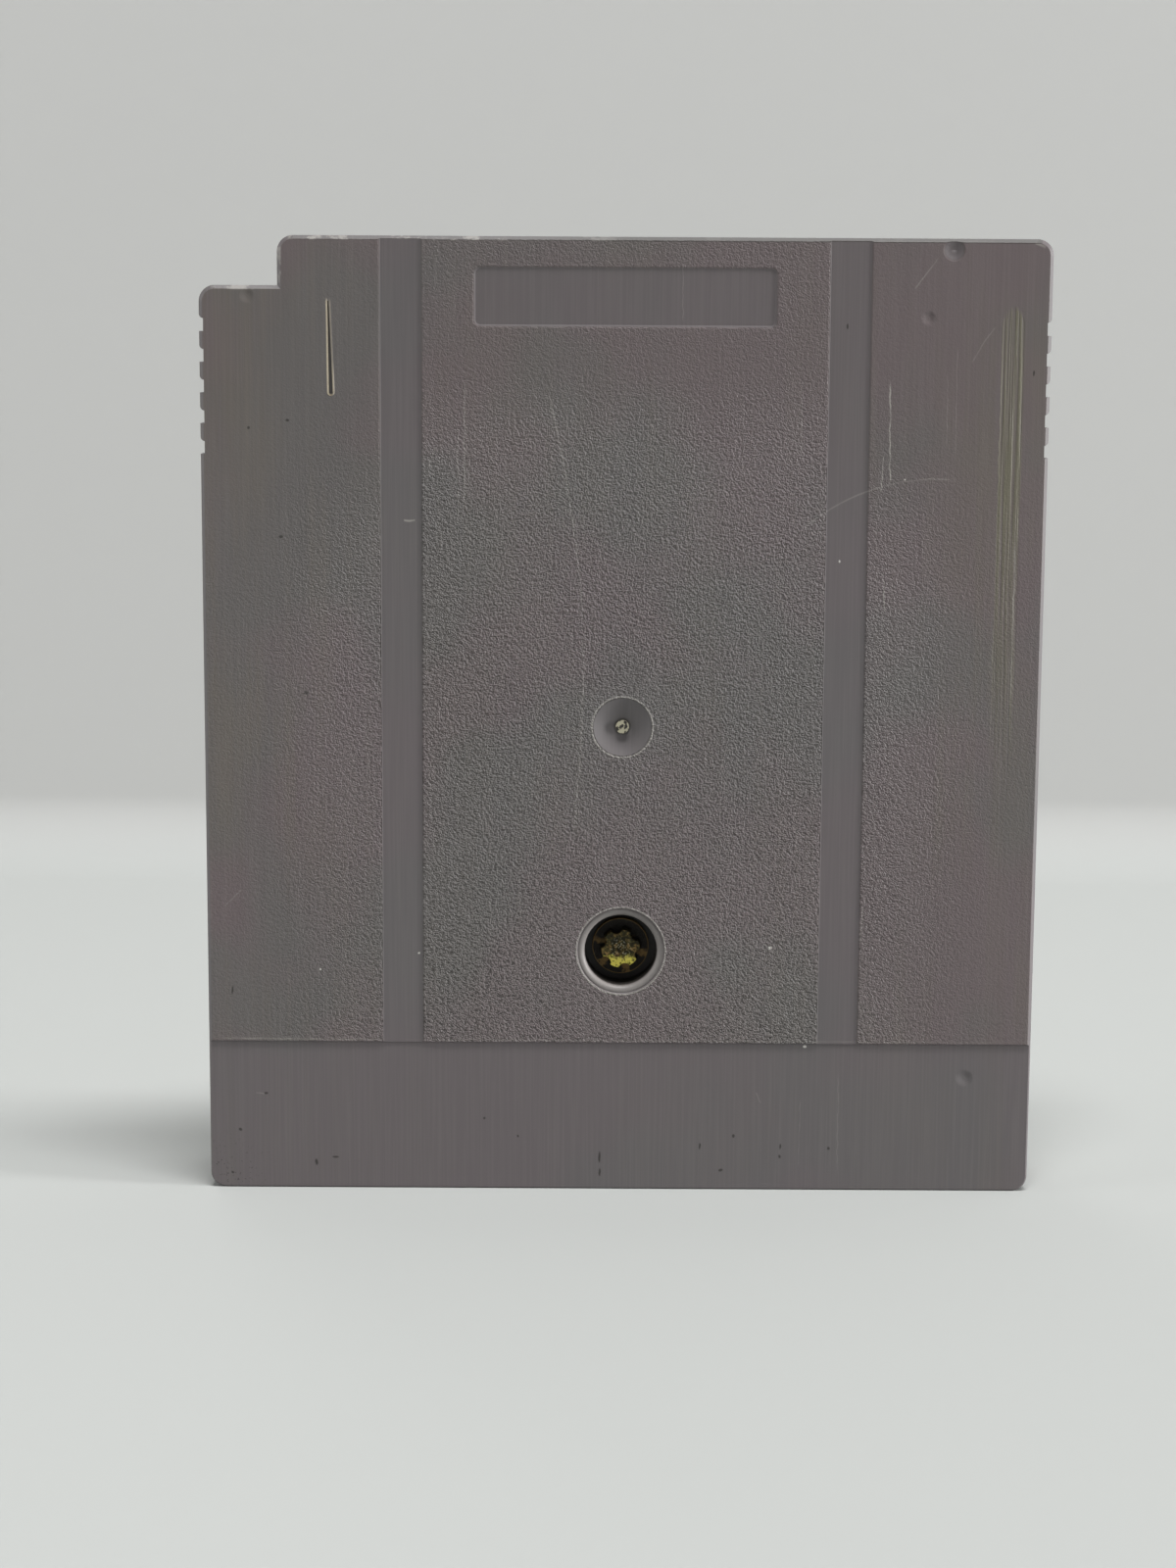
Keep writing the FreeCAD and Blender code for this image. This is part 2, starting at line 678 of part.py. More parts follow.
def back_shell(doc, dim):
    """Moulded back half: face details, screw well, locating lip, catches and board rails."""
    body = new_body(doc, "back_shell")
    shell_block(body, dim, dim.back, dim.back_depth, TO_FRONT)
    hollow_out(body, dim, dim.seam, dim.back_depth - dim.back_wall, TO_BACK, dim.back_inside)
    lip = new_sketch(body, "lip", UPRIGHT, dim.seam)
    add_loop(lip, wall_band(dim, dim.side_wall - dim.lip_thickness, dim.side_wall, dim.lip_foot))
    pad(body, "lip", lip, dim.lip_height, TO_FRONT)
    add_boss(body, dim, dim.back_inside, dim.boss_end - dim.back_inside, TO_FRONT)
    rail_end = dim.board_half + dim.rail_overhang
    rail_span = [(dim.board_lift + dim.rail_margin, dim.board_top - dim.rail_margin)]
    rail_start = rail_end - dim.rail_width
    side_blocks(body, "rails", dim.back_inside, dim.board_standoff, TO_FRONT, rail_start, rail_end, rail_span)
    catch_start = dim.side_inside - dim.catch_depth
    side_blocks(
        body, "catches", dim.seam - dim.catch_height, dim.catch_height, TO_FRONT,
        catch_start, dim.side_inside, hook_spans(dim),
    )
    gate_dish(body, dim)
    screw_well(body, dim)
    back_face_recesses(body, dim)
    worn_places(body, dim)
    cut_grips(body, dim)
    return body


def front_face_recesses(body, dim):
    """The label's recess, the round-ended one above it and the insertion arrow, all bare."""
    half = dim.label_width / 2
    label_top = dim.height - dim.label_drop
    label_low = label_top - dim.label_height
    label = new_sketch(body, "label", UPRIGHT, dim.front)
    add_loop(label, rounded_rectangle(-half, half, label_low, label_top, dim.label_corner))
    pocket(body, "label", label, dim.label_depth, TO_BACK)
    title = new_sketch(body, "title", UPRIGHT, dim.front)
    end = dim.title_height / 2
    straight = dim.title_width / 2 - end
    low = label_top + dim.title_gap
    high = low + dim.title_height
    middle = low + end
    right = straight + end
    add_loop(title, [
        (-straight, low),
        (straight, low, end),
        (right, middle, end),
        (straight, high),
        (-straight, high, end),
        (-right, middle, end),
    ])
    pocket(body, "title", title, dim.title_depth, TO_BACK)
    arrow = new_sketch(body, "arrow", UPRIGHT, dim.front)
    arrow_top = label_low - dim.arrow_gap
    arrow_half = dim.arrow_width / 2
    add_loop(arrow, [(-arrow_half, arrow_top), (0, arrow_top - dim.arrow_height), (arrow_half, arrow_top)])
    pocket(body, "arrow", arrow, dim.arrow_depth, TO_BACK)


def front_hooks(body, dim):
    """Hooks on both sides: a stem from the front wall, and a toe that turns outwards behind its catch."""
    toe_top = dim.seam - dim.catch_height - dim.hook_gap
    toe_end = toe_top - dim.toe_height
    spans = hook_spans(dim)
    toe_reach = dim.side_inside - dim.hook_gap
    stem_length = dim.front_inside - toe_end
    side_blocks(
        body, "hook_stems", dim.front_inside, stem_length, TO_BACK, dim.stem_inside, dim.stem_outside, spans,
    )
    side_blocks(body, "hook_toes", toe_top, dim.toe_height, TO_BACK, dim.stem_inside, toe_reach, spans)


def front_shell(doc, dim):
    """Moulded front half: rebate, hooks, board clamps, screw boss and the bare recesses of its face."""
    body = new_body(doc, "front_shell")
    depth = dim.front - dim.rim
    shell_block(body, dim, dim.front, depth, TO_BACK)
    hollow_out(body, dim, dim.rim, depth - dim.front_wall, TO_FRONT, dim.front_inside)
    rebate = new_sketch(body, "rebate", UPRIGHT, dim.rim)
    rebate_outer = dim.side_wall - dim.lip_thickness - dim.lip_gap
    rebate_inner = dim.side_wall + dim.lip_gap
    add_loop(rebate, wall_band(dim, rebate_outer, rebate_inner, dim.lip_foot - dim.lip_gap))
    pocket(body, "rebate", rebate, dim.lip_height - dim.seam_gap, TO_FRONT)
    add_boss(body, dim, dim.front_inside, dim.front_inside - dim.boss_end, TO_BACK)
    front_hooks(body, dim)
    clamp_outer = dim.board_half - dim.clamp_inset
    clamp_low = dim.board_lift + dim.contact_inset + dim.contact_length + dim.clamp_inset
    clamp_high = dim.board_top - dim.clamp_inset
    clamp_spans = [(clamp_low, clamp_low + dim.clamp_width), (clamp_high - dim.clamp_width, clamp_high)]
    clamp_inner = clamp_outer - dim.clamp_length
    clamp_depth = dim.front_inside - dim.board_front
    side_blocks(body, "clamps", dim.front_inside, clamp_depth, TO_BACK, clamp_inner, clamp_outer, clamp_spans)
    pilot = new_sketch(body, "pilot", UPRIGHT, dim.boss_end)
    add_circle(pilot, 0, dim.screw_height, dim.shank_radius + dim.thread_gap)
    pocket(body, "pilot", pilot, dim.pilot_end - dim.boss_end, TO_FRONT)
    front_face_recesses(body, dim)
    cut_grips(body, dim)
    return body


def case_screw(doc, dim):
    """Security screw: a flanged head with a lobed drive, turned, then scalloped all round."""
    body = new_body(doc, "case_screw")
    top = dim.seat - dim.flange_height - dim.lobe_height
    flange = dim.seat - dim.flange_height
    tip = dim.pilot_end - dim.tip_gap
    turned = new_sketch(body, "turned", LEVEL, dim.screw_height)
    add_loop(turned, [
        (0, top + dim.dimple_depth),
        (dim.dimple_radius, top),
        (dim.lobe_radius - dim.lobe_draft, top),
        (dim.lobe_radius, flange),
        (dim.head_radius, flange),
        (dim.head_radius, dim.seat),
        (dim.shank_radius, dim.seat),
        (dim.shank_radius, tip - dim.tip_length),
        (0, tip),
    ])
    turn(body, "Revolution", "turned", turned)
    scallop = new_sketch(body, "scallop", UPRIGHT, top, up=dim.screw_height)
    add_circle(scallop, *polar(dim.scallop_reach, dim.lobe_turn), dim.scallop_radius)
    cut = pocket(body, "scallop", scallop, dim.lobe_height, TO_FRONT)
    ring_of(body, "scallops", cut, dim.lobe_count)
    return body


def circuit_board(doc, dim):
    """Board with cut corners at its contact edge and a hole for the screw boss."""
    body = new_body(doc, "circuit_board")
    sketch = new_sketch(body, "outline", UPRIGHT, dim.board_back)
    cut = dim.board_half - dim.board_corner
    raised = dim.board_lift + dim.board_corner
    add_loop(sketch, [
        (-cut, dim.board_lift),
        (cut, dim.board_lift),
        (dim.board_half, raised),
        (dim.board_half, dim.board_top),
        (-dim.board_half, dim.board_top),
        (-dim.board_half, raised),
    ])
    add_circle(sketch, 0, dim.screw_height, dim.boss_radius + dim.hole_gap)
    pad(body, "plate", sketch, dim.board_thickness, TO_FRONT)
    return body


def edge_contacts(doc, dim):
    """A row of contacts along the board's lower edge, as many as the edge has room for."""
    body = new_body(doc, "edge_contacts")
    count = whole((dim.board_half - dim.contact_margin) * 2 / dim.contact_pitch) + 1
    start = -((count - 1) * dim.contact_pitch / 2) - dim.contact_width / 2
    low = dim.board_lift + dim.contact_inset
    sketch = new_sketch(body, "contact", UPRIGHT, dim.board_front)
    add_loop(sketch, rectangle(start, start + dim.contact_width, low, low + dim.contact_length))
    contact = pad(body, "contact", sketch, dim.contact_thickness, TO_FRONT)
    row_of(body, "contacts", contact, "H_Axis", count, dim.contact_pitch)
    return body


def chip_body(doc, dim, label, middle, length, width):
    """A chip's moulded body: two tapered halves on the lead plane, with a dimple at the first pin."""
    body = new_body(doc, label)
    half_length = length / 2
    half_width = width / 2
    across, up = middle
    half_body = dim.chip_body / 2
    lead_plane = dim.board_front + dim.chip_standoff + half_body
    for name, towards in (("upper", TO_FRONT), ("lower", TO_BACK)):
        sketch = new_sketch(body, name, UPRIGHT, lead_plane, across, up)
        add_loop(sketch, rectangle(-half_length, half_length, -half_width, half_width))
        half = pad(body, name, sketch, half_body, towards)
        bind(half, "TaperAngle", -dim.chip_draft)
    mark = new_sketch(body, "pin_mark", UPRIGHT, lead_plane + half_body, across, up)
    add_circle(mark, half_length - dim.pin_mark_inset, half_width - dim.pin_mark_inset, dim.pin_mark)
    pocket(body, "pin_mark", mark, dim.pin_mark_depth, TO_BACK)
    return body


def chip_leads(doc, dim, label, middle, length, width):
    """Gull-wing leads along both long sides of a chip, as many as its length has room for."""
    body = new_body(doc, label)
    across, up = middle
    count = whole((length - dim.lead_margin * 2) / dim.lead_pitch) + 1
    start = across - (count - 1) * dim.lead_pitch / 2 - dim.lead_width / 2
    board = dim.board_front
    plane = board + dim.chip_standoff + dim.chip_body / 2
    half = dim.lead_thickness / 2
    edge = width / 2
    tip = edge + dim.lead_reach
    knee = tip - dim.lead_foot
    sketch = new_sketch(body, "lead", ACROSS, start, 0, up)
    for side in (1, -1):
        add_loop(sketch, [
            (plane + half, edge * side),
            (plane + half, knee * side),
            (board + dim.lead_thickness, knee * side),
            (board + dim.lead_thickness, tip * side),
            (board, tip * side),
            (board, (knee - dim.lead_thickness) * side),
            (plane - half, (knee - dim.lead_thickness) * side),
            (plane - half, edge * side),
        ])
    lead = pad(body, "lead", sketch, dim.lead_width, TO_RIGHT)
    row_of(body, "leads", lead, "N_Axis", count, dim.lead_pitch)
    return body


def chips(doc, dim):
    """The memory chip, its bank controller and the reset chip, each with its leads."""
    memory = (-dim.memory_offset, dim.board_top - dim.memory_drop)
    controller = (-dim.controller_offset, dim.board_lift + dim.controller_lift)
    reset = (dim.reset_offset, dim.board_lift + dim.reset_lift)
    bodies = []
    for label, middle, length, width in (
        ("memory_chip", memory, dim.memory_length, dim.memory_width),
        ("bank_controller", controller, dim.controller_length, dim.controller_width),
        ("reset_chip", reset, dim.reset_length, dim.reset_width),
    ):
        bodies.append(chip_body(doc, dim, label, middle, length, width))
        bodies.append(chip_leads(doc, dim, f"{label}_leads", middle, length, width))
    return bodies


def backup_cell(doc, dim):
    """Sealed coin cell: a can, and a smaller cap towards the board."""
    body = new_body(doc, "backup_cell")
    low = dim.board_front + dim.tab_thickness
    high = low + dim.cell_thickness
    cap = dim.cell_radius - dim.cell_inset
    step = low + dim.cell_step
    sketch = new_sketch(body, "turned", LEVEL, dim.board_top - dim.cell_drop, across=dim.cell_offset)
    add_loop(sketch, [
        (0, low),
        (cap, low),
        (cap, step),
        (dim.cell_radius, step),
        (dim.cell_radius, high),
        (0, high),
    ])
    turn(body, "Revolution", "turned", sketch)
    return body


def cell_tabs(doc, dim):
    """The cell's two tabs: a flat one under the cap, and one over the can that bends down to the board."""
    middle = dim.board_top - dim.cell_drop
    board = dim.board_front
    top_of_cell = board + dim.tab_thickness + dim.cell_thickness
    start = dim.cell_offset - dim.tab_width / 2
    minus = new_body(doc, "cell_minus_tab")
    strip = new_sketch(minus, "strip", UPRIGHT, board)
    low = middle - dim.cell_radius - dim.tab_foot
    add_loop(strip, rectangle(start, start + dim.tab_width, low, middle + dim.tab_overlap))
    pad(minus, "strip", strip, dim.tab_thickness, TO_FRONT)
    plus = new_body(doc, "cell_plus_tab")
    bent = new_sketch(plus, "bent", ACROSS, start)
    bend = middle + dim.cell_radius + dim.tab_clear
    outside = bend + dim.tab_thickness
    foot = outside + dim.tab_foot
    over = top_of_cell + dim.tab_thickness
    add_loop(bent, [
        (over, middle - dim.tab_overlap),
        (over, outside),
        (board + dim.tab_thickness, outside),
        (board + dim.tab_thickness, foot),
        (board, foot),
        (board, bend),
        (top_of_cell, bend),
        (top_of_cell, middle - dim.tab_overlap),
    ])
    pad(plus, "bent", bent, dim.tab_width, TO_RIGHT)
    return [minus, plus]


def passives(doc, dim, kind, lift, count, height):
    """A column of chip capacitors or resistors, and the soldered terminals at their ends."""
    half = dim.passive_length / 2
    inner = half - dim.terminal_length
    low = lift - dim.passive_width / 2
    high = lift + dim.passive_width / 2
    bodies = []
    pieces = {f"{kind}s": [(-inner, inner)], f"{kind}_terminals": [(-half, -inner), (inner, half)]}
    for label, spans in pieces.items():
        body = new_body(doc, label)
        sketch = new_sketch(body, "first", UPRIGHT, dim.board_front, across=dim.passive_offset)
        for left, right in spans:
            add_loop(sketch, rectangle(left, right, low, high))
        first = pad(body, "first", sketch, height, TO_FRONT)
        row_of(body, "column", first, "V_Axis", count, dim.passive_pitch)
        bodies.append(body)
    return bodies


def build(doc):
    """Build every sub-part, and return their bodies."""
    dim = make_sheet(doc)
    add_levels(dim)
    bodies = [back_shell(doc, dim), front_shell(doc, dim), case_screw(doc, dim)]
    bodies += [circuit_board(doc, dim), edge_contacts(doc, dim)]
    bodies += chips(doc, dim)
    bodies += [backup_cell(doc, dim)] + cell_tabs(doc, dim)
    lift = dim.board_lift + dim.passive_lift
    bodies += passives(doc, dim, "capacitor", lift, dim.capacitor_count, dim.capacitor_height)
    lift = lift + dim.capacitor_count * dim.passive_pitch
    bodies += passives(doc, dim, "resistor", lift, dim.resistor_count, dim.resistor_height)
    doc.recompute()
    return bodies


def check(doc, bodies):
    """Stop if a feature failed, a cut or an addition changed nothing, or a sub-part is no valid solid."""
    for item in doc.Objects:
        if {"Invalid", "Error"} & set(item.State):
            raise RuntimeError(f"{item.Label} failed: {item.State}")
        base = getattr(item, "BaseFeature", None)
        if base is not None and abs(item.Shape.Volume - base.Shape.Volume) < NEAR:
            raise RuntimeError(f"{item.Label} changes nothing")
    for body in bodies:
        shape = body.Shape
        if shape.isNull() or not shape.isValid() or not shape.Solids:
            raise RuntimeError(f"{body.Label} is no valid solid")


def main():
    """Build the document, check it and write one file for each sub-part."""
    doc = FreeCAD.newDocument("GameCartridge")
    bodies = build(doc)
    check(doc, bodies)
    os.makedirs(FOLDER, exist_ok=True)
    for body in bodies:
        body.Shape.exportStep(f"{FOLDER}/{body.Label}.step")
        print(body.Label, len(body.Shape.Solids), round(body.Shape.Volume, 3))


main()
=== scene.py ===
"""Looks of a handheld-console game cartridge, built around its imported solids.

The cartridge stands on its mouth edge with its back shell towards -Y and its cut-away corner at the top on
the -X side. Sizes and places are in millimetres, apart from meshes, lamps and the camera, which are in
metres as the frame is.
"""

import logging
import math
from dataclasses import dataclass
from enum import Enum
from functools import cached_property, reduce
from typing import Any, Mapping, Optional, Sequence, Union

import bpy
import numpy as np
from mathutils import Matrix, Vector


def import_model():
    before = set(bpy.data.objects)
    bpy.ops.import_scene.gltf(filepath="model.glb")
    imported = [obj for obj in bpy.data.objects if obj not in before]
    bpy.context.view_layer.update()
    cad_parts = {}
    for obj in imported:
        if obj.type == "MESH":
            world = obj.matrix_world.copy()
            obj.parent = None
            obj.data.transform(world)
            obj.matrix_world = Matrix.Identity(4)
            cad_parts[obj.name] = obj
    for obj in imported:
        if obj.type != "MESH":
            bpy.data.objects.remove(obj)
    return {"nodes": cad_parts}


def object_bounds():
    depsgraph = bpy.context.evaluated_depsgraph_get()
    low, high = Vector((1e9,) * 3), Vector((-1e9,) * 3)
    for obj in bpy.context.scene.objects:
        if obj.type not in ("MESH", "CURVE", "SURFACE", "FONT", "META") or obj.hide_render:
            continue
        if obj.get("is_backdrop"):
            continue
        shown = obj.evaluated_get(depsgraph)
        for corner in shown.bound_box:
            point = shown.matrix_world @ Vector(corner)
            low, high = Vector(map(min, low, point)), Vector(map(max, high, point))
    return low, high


LOG = logging.getLogger("cartridge")
MM = 0.001
MIDDLE = 0.5

Number = Union[float, "Wire"]
Triple = tuple[float, float, float]
Colour = Triple
Point = tuple[float, float]

SCREW_AXIS: Point = (0.0, 17.0)
GATE: Point = (0.0, 32.6)


class Wire:
    """A node's output socket. Arithmetic on it adds Math nodes to its graph."""

    def __init__(self, graph: "Graph", socket: bpy.types.NodeSocket) -> None:
        """Keep the socket and the graph that it belongs to."""
        self.graph = graph
        self.socket = socket

    def __add__(self, other: Number) -> "Wire":
        """Sum."""
        return self.graph.math("ADD", self, other)

    def __sub__(self, other: Number) -> "Wire":
        """Difference."""
        return self.graph.math("SUBTRACT", self, other)

    def __rsub__(self, other: Number) -> "Wire":
        """Difference from a plain number."""
        return self.graph.math("SUBTRACT", other, self)

    def __mul__(self, other: Number) -> "Wire":
        """Product."""
        return self.graph.math("MULTIPLY", self, other)

    def __truediv__(self, other: Number) -> "Wire":
        """Quotient."""
        return self.graph.math("DIVIDE", self, other)

    def __rtruediv__(self, other: Number) -> "Wire":
        """Quotient of a plain number."""
        return self.graph.math("DIVIDE", other, self)

    def __abs__(self) -> "Wire":
        """Size without sign."""
        return self.graph.math("ABSOLUTE", self)

    __radd__ = __add__
    __rmul__ = __mul__


@dataclass(frozen=True)
class Spot:
    """Where a shaded point lies, in millimetres: as one vector and along each axis."""

    place: Wire
    x: Wire
    y: Wire
    z: Wire


class Graph:
    """The node tree of one material."""

    def __init__(self, name: str) -> None:
        """Start an empty material."""
        self.material = bpy.data.materials.new(name)
        self.material.use_nodes = True
        self.tree = self.material.node_tree
        self.tree.nodes.clear()

    def make(
        self,
        kind: str,
        settings: Optional[Mapping[str, Any]] = None,
        inputs: Optional[Mapping[Union[int, str], Any]] = None,
        output: Union[int, str] = 0,
    ) -> Wire:
        """Add any node.

        Args:
            kind: the node's type.
            settings: its properties, which are set first; "stops" are a colour ramp's.
            inputs: values or wires by socket name or number.
            output: the socket that is returned.

        Returns:
            The chosen output.
        """
        node = self.tree.nodes.new(kind)
        for name, value in (settings or {}).items():
            if name == "stops":
                self.set_stops(node.color_ramp.elements, value)
            else:
                setattr(node, name, value)
        for key, value in (inputs or {}).items():
            socket = node.inputs[key]
            if isinstance(value, Wire):
                self.tree.links.new(value.socket, socket)
            elif socket.type == "RGBA":
                socket.default_value = (*value, 1.0)
            else:
                socket.default_value = value
        return Wire(self, node.outputs[output])

    @staticmethod
    def set_stops(elements: Any, stops: Sequence[tuple[float, Colour]]) -> None:
        """Give a colour ramp its stops.

        Args:
            elements: the ramp's elements, of which a new ramp has two.
            stops: places from 0 to 1 and their colours.
        """
        while len(elements) < len(stops):
            elements.new(1.0)
        for element, (position, colour) in zip(elements, stops):
            element.position = position
            element.color = (*colour, 1.0)

    def math(self, operation: str, *values: Number) -> Wire:
        """Add a Math node."""
        return self.make("ShaderNodeMath", {"operation": operation}, dict(enumerate(values)))

    def weigh(self, value: Wire, weight: float, total: Number) -> Wire:
        """Add a weighted value to a total."""
        return self.math("MULTIPLY_ADD", value, weight, total)

    def between(self, mask: Wire, ends: Point) -> Wire:
        """Go from one number to another as a mask goes from 0 to 1."""
        return self.weigh(mask, ends[1] - ends[0], ends[0])

    def most(self, *values: Number) -> Wire:
        """The largest of two or more values."""
        return reduce(lambda first, second: self.math("MAXIMUM", first, second), values)

    def least(self, *values: Number) -> Wire:
        """The smallest of two or more values."""
        return reduce(lambda first, second: self.math("MINIMUM", first, second), values)

    def smooth(self, value: Number, low: float, high: float) -> Wire:
        """Ease from 0 to 1.

        Args:
            value: what is eased.
            low: where the result is 0, above or below high.
            high: where the result is 1.

        Returns:
            A value from 0 to 1.
        """
        return self.make(
            "ShaderNodeMapRange",
            {"interpolation_type": "SMOOTHSTEP"},
            {"Value": value, "From Min": low, "From Max": high},
        )

    def vector(self, operation: str, *values: Any, output: str = "Vector") -> Wire:
        """Add a Vector Math node, whose output "Value" is a plain number."""
        return self.make("ShaderNodeVectorMath", {"operation": operation}, dict(enumerate(values)), output)

    def stretch(self, vector: Wire, factors: Triple) -> Wire:
        """Scale a vector along each axis."""
        return self.vector("MULTIPLY", vector, factors)

    def noise(self, place: Wire, scale: Union[float, Triple], detail: float = 2.0, **more: float) -> Wire:
        """Soft noise from 0 to 1.

        Args:
            place: where to read it.
            scale: cells for each unit, all round or along each axis.
            detail: finer layers.
            more: other inputs of the node, such as Distortion.

        Returns:
            The noise's value.
        """
        if isinstance(scale, tuple):
            place, scale = self.stretch(place, scale), 1.0
        inputs = {"Vector": place, "Scale": scale, "Detail": detail, **more}
        return self.make("ShaderNodeTexNoise", None, inputs)

    def mix(self, factor: Number, first: Any, second: Any, blend: str = "MIX") -> Wire:
        """Mix two colours.

        Args:
            factor: share of the second colour.
            first: colour or wire.
            second: colour or wire.
            blend: the Mix node's way of blending.

        Returns:
            The mixed colour.
        """
        settings = {"data_type": "RGBA", "blend_type": blend}
        return self.make("ShaderNodeMix", settings, {0: factor, 6: first, 7: second}, output=2)

    def ramp(self, value: Number, stops: Sequence[tuple[float, Colour]]) -> Wire:
        """Colours along a value."""
        return self.make("ShaderNodeValToRGB", {"stops": stops}, {"Fac": value})

    def spot(self) -> Spot:
        """Read Object coordinates in millimetres.

        Returns:
            The point and its three parts.
        """
        there = self.make("ShaderNodeTexCoord", output="Object")
        place = self.stretch(there, (1 / MM, 1 / MM, 1 / MM))
        parts = self.make("ShaderNodeSeparateXYZ", None, {0: place}).socket.node.outputs
        return Spot(place, *(Wire(self, parts[axis]) for axis in "XYZ"))

    def from_point(self, place: Wire, centre: Point, radii: Point = (1.0, 1.0)) -> Wire:
        """Distance from a point in the plane of the face.

        Args:
            place: the shaded point.
            centre: the (x, z) point.
            radii: half axes of the ellipse on which the distance is 1.

        Returns:
            The distance.
        """
        factors = (1 / radii[0], 0.0, 1 / radii[1])
        shift = (-centre[0] / radii[0], 0.0, -centre[1] / radii[1])
        return self.vector("LENGTH", self.vector("MULTIPLY_ADD", place, factors, shift), output="Value")

    def along(self, place: Wire, direction: Vector, start: Vector) -> Wire:
        """Distance from a start along a direction."""
        return self.vector("DOT_PRODUCT", place, tuple(direction), output="Value") - direction.dot(start)

    def bump(self, height: Wire) -> Wire:
        """The normal of a surface raised by a height in millimetres."""
        return self.make("ShaderNodeBump", None, {"Distance": MM, "Height": height})

    def finish(self, **inputs: Any) -> bpy.types.Material:
        """Close the graph with one shader.

        Args:
            inputs: the shader's sockets, with _ for each space of their names.

        Returns:
            The material.
        """
        named = {key.replace("_", " "): value for key, value in inputs.items()}
        shader = self.make("ShaderNodeBsdfPrincipled", None, named)
        self.make_output(shader)
        return self.material

    def make_output(self, shader: Wire) -> None:
        """Link a shader to the material's surface."""
        node = self.tree.nodes.new("ShaderNodeOutputMaterial")
        self.tree.links.new(shader.socket, node.inputs["Surface"])


@dataclass(frozen=True)
class Scratch:
    """A fine line on the back face, straight or bowed, from one (x, z) point to another.

    The core is the share of its width, and full_length the share of its length, that doesn't fade.
    """

    start: Point
    end: Point
    width: float = 0.08
    bow: float = 0.0
    light: float = 0.5
    core: float = 0.2
    full_length: float = 0.8

    def mask(self, place: Wire) -> Wire:
        """1 on the line and 0 off it.

        It falls off with the distance to a parabola through both ends that rises by bow over the chord's
        middle, and it fades at the chord's ends.

        Args:
            place: the shaded point, in the plane of the face.

        Returns:
            The mask.
        """
        graph = place.graph
        start = Vector((self.start[0], 0.0, self.start[1]))
        end = Vector((self.end[0], 0.0, self.end[1]))
        middle = (start + end) / 2
        half = (end - start).length / 2
        along = (end - start).normalized()
        side = Vector((-along.z, 0.0, along.x))
        reach = graph.along(place, along, middle)
        gap = graph.along(place, side, middle + side * self.bow)
        if self.bow:
            gap = graph.weigh(reach * reach, self.bow / half ** 2, gap)
        line = graph.smooth(abs(gap), self.width, self.width * self.core)
        return line * graph.smooth(abs(reach), half, half * self.full_length)


def drawn(lines: Sequence[Scratch], place: Wire) -> Wire:
    """Add up the light of several lines.

    Args:
        lines: what is drawn.
        place: the shaded point, in the plane of the face.

    Returns:
        The sum, which is 0 off the lines.
    """
    light: Number = 0.0
    for line in lines:
        light = place.graph.weigh(line.mask(place), line.light, light)
    return light


class Grime(Enum):
    """What a speck is made of, by its colour."""

    NEAR_BLACK = (0.02, 0.017, 0.014)
    DUST = (0.6, 0.58, 0.54)


@dataclass(frozen=True)
class Speck:
    """A speck on the back face, at an (x, z) point, that fades between two shares of its radii."""

    place: Point
    radii: Point
    grime: Grime = Grime.NEAR_BLACK
    fade: Point = (1.2, 0.6)

    def mask(self, place: Wire) -> Wire:
        """1 on the speck and 0 off it."""
        graph = place.graph
        return graph.smooth(graph.from_point(place, self.place, self.radii), *self.fade)


@dataclass(frozen=True)
class Dent:
    """A shallow round dent in the back face, at an (x, z) point, with a small flat floor."""

    place: Point
    radius: float
    depth: float
    fade: Point = (1.0, 0.1)

    def sink(self, place: Wire) -> Wire:
        """Depth in millimetres, falling off smoothly to the dent's rim."""
        away = place.graph.from_point(place, self.place, (self.radius, self.radius))
        return place.graph.smooth(away, *self.fade) * self.depth


# Near-black: dirt on specks and in pits, and painted shade on the steps, in the gouge, round the stub, in the
# well and on the screw's flange.
NEAR_BLACK: Colour = Grime.NEAR_BLACK.value

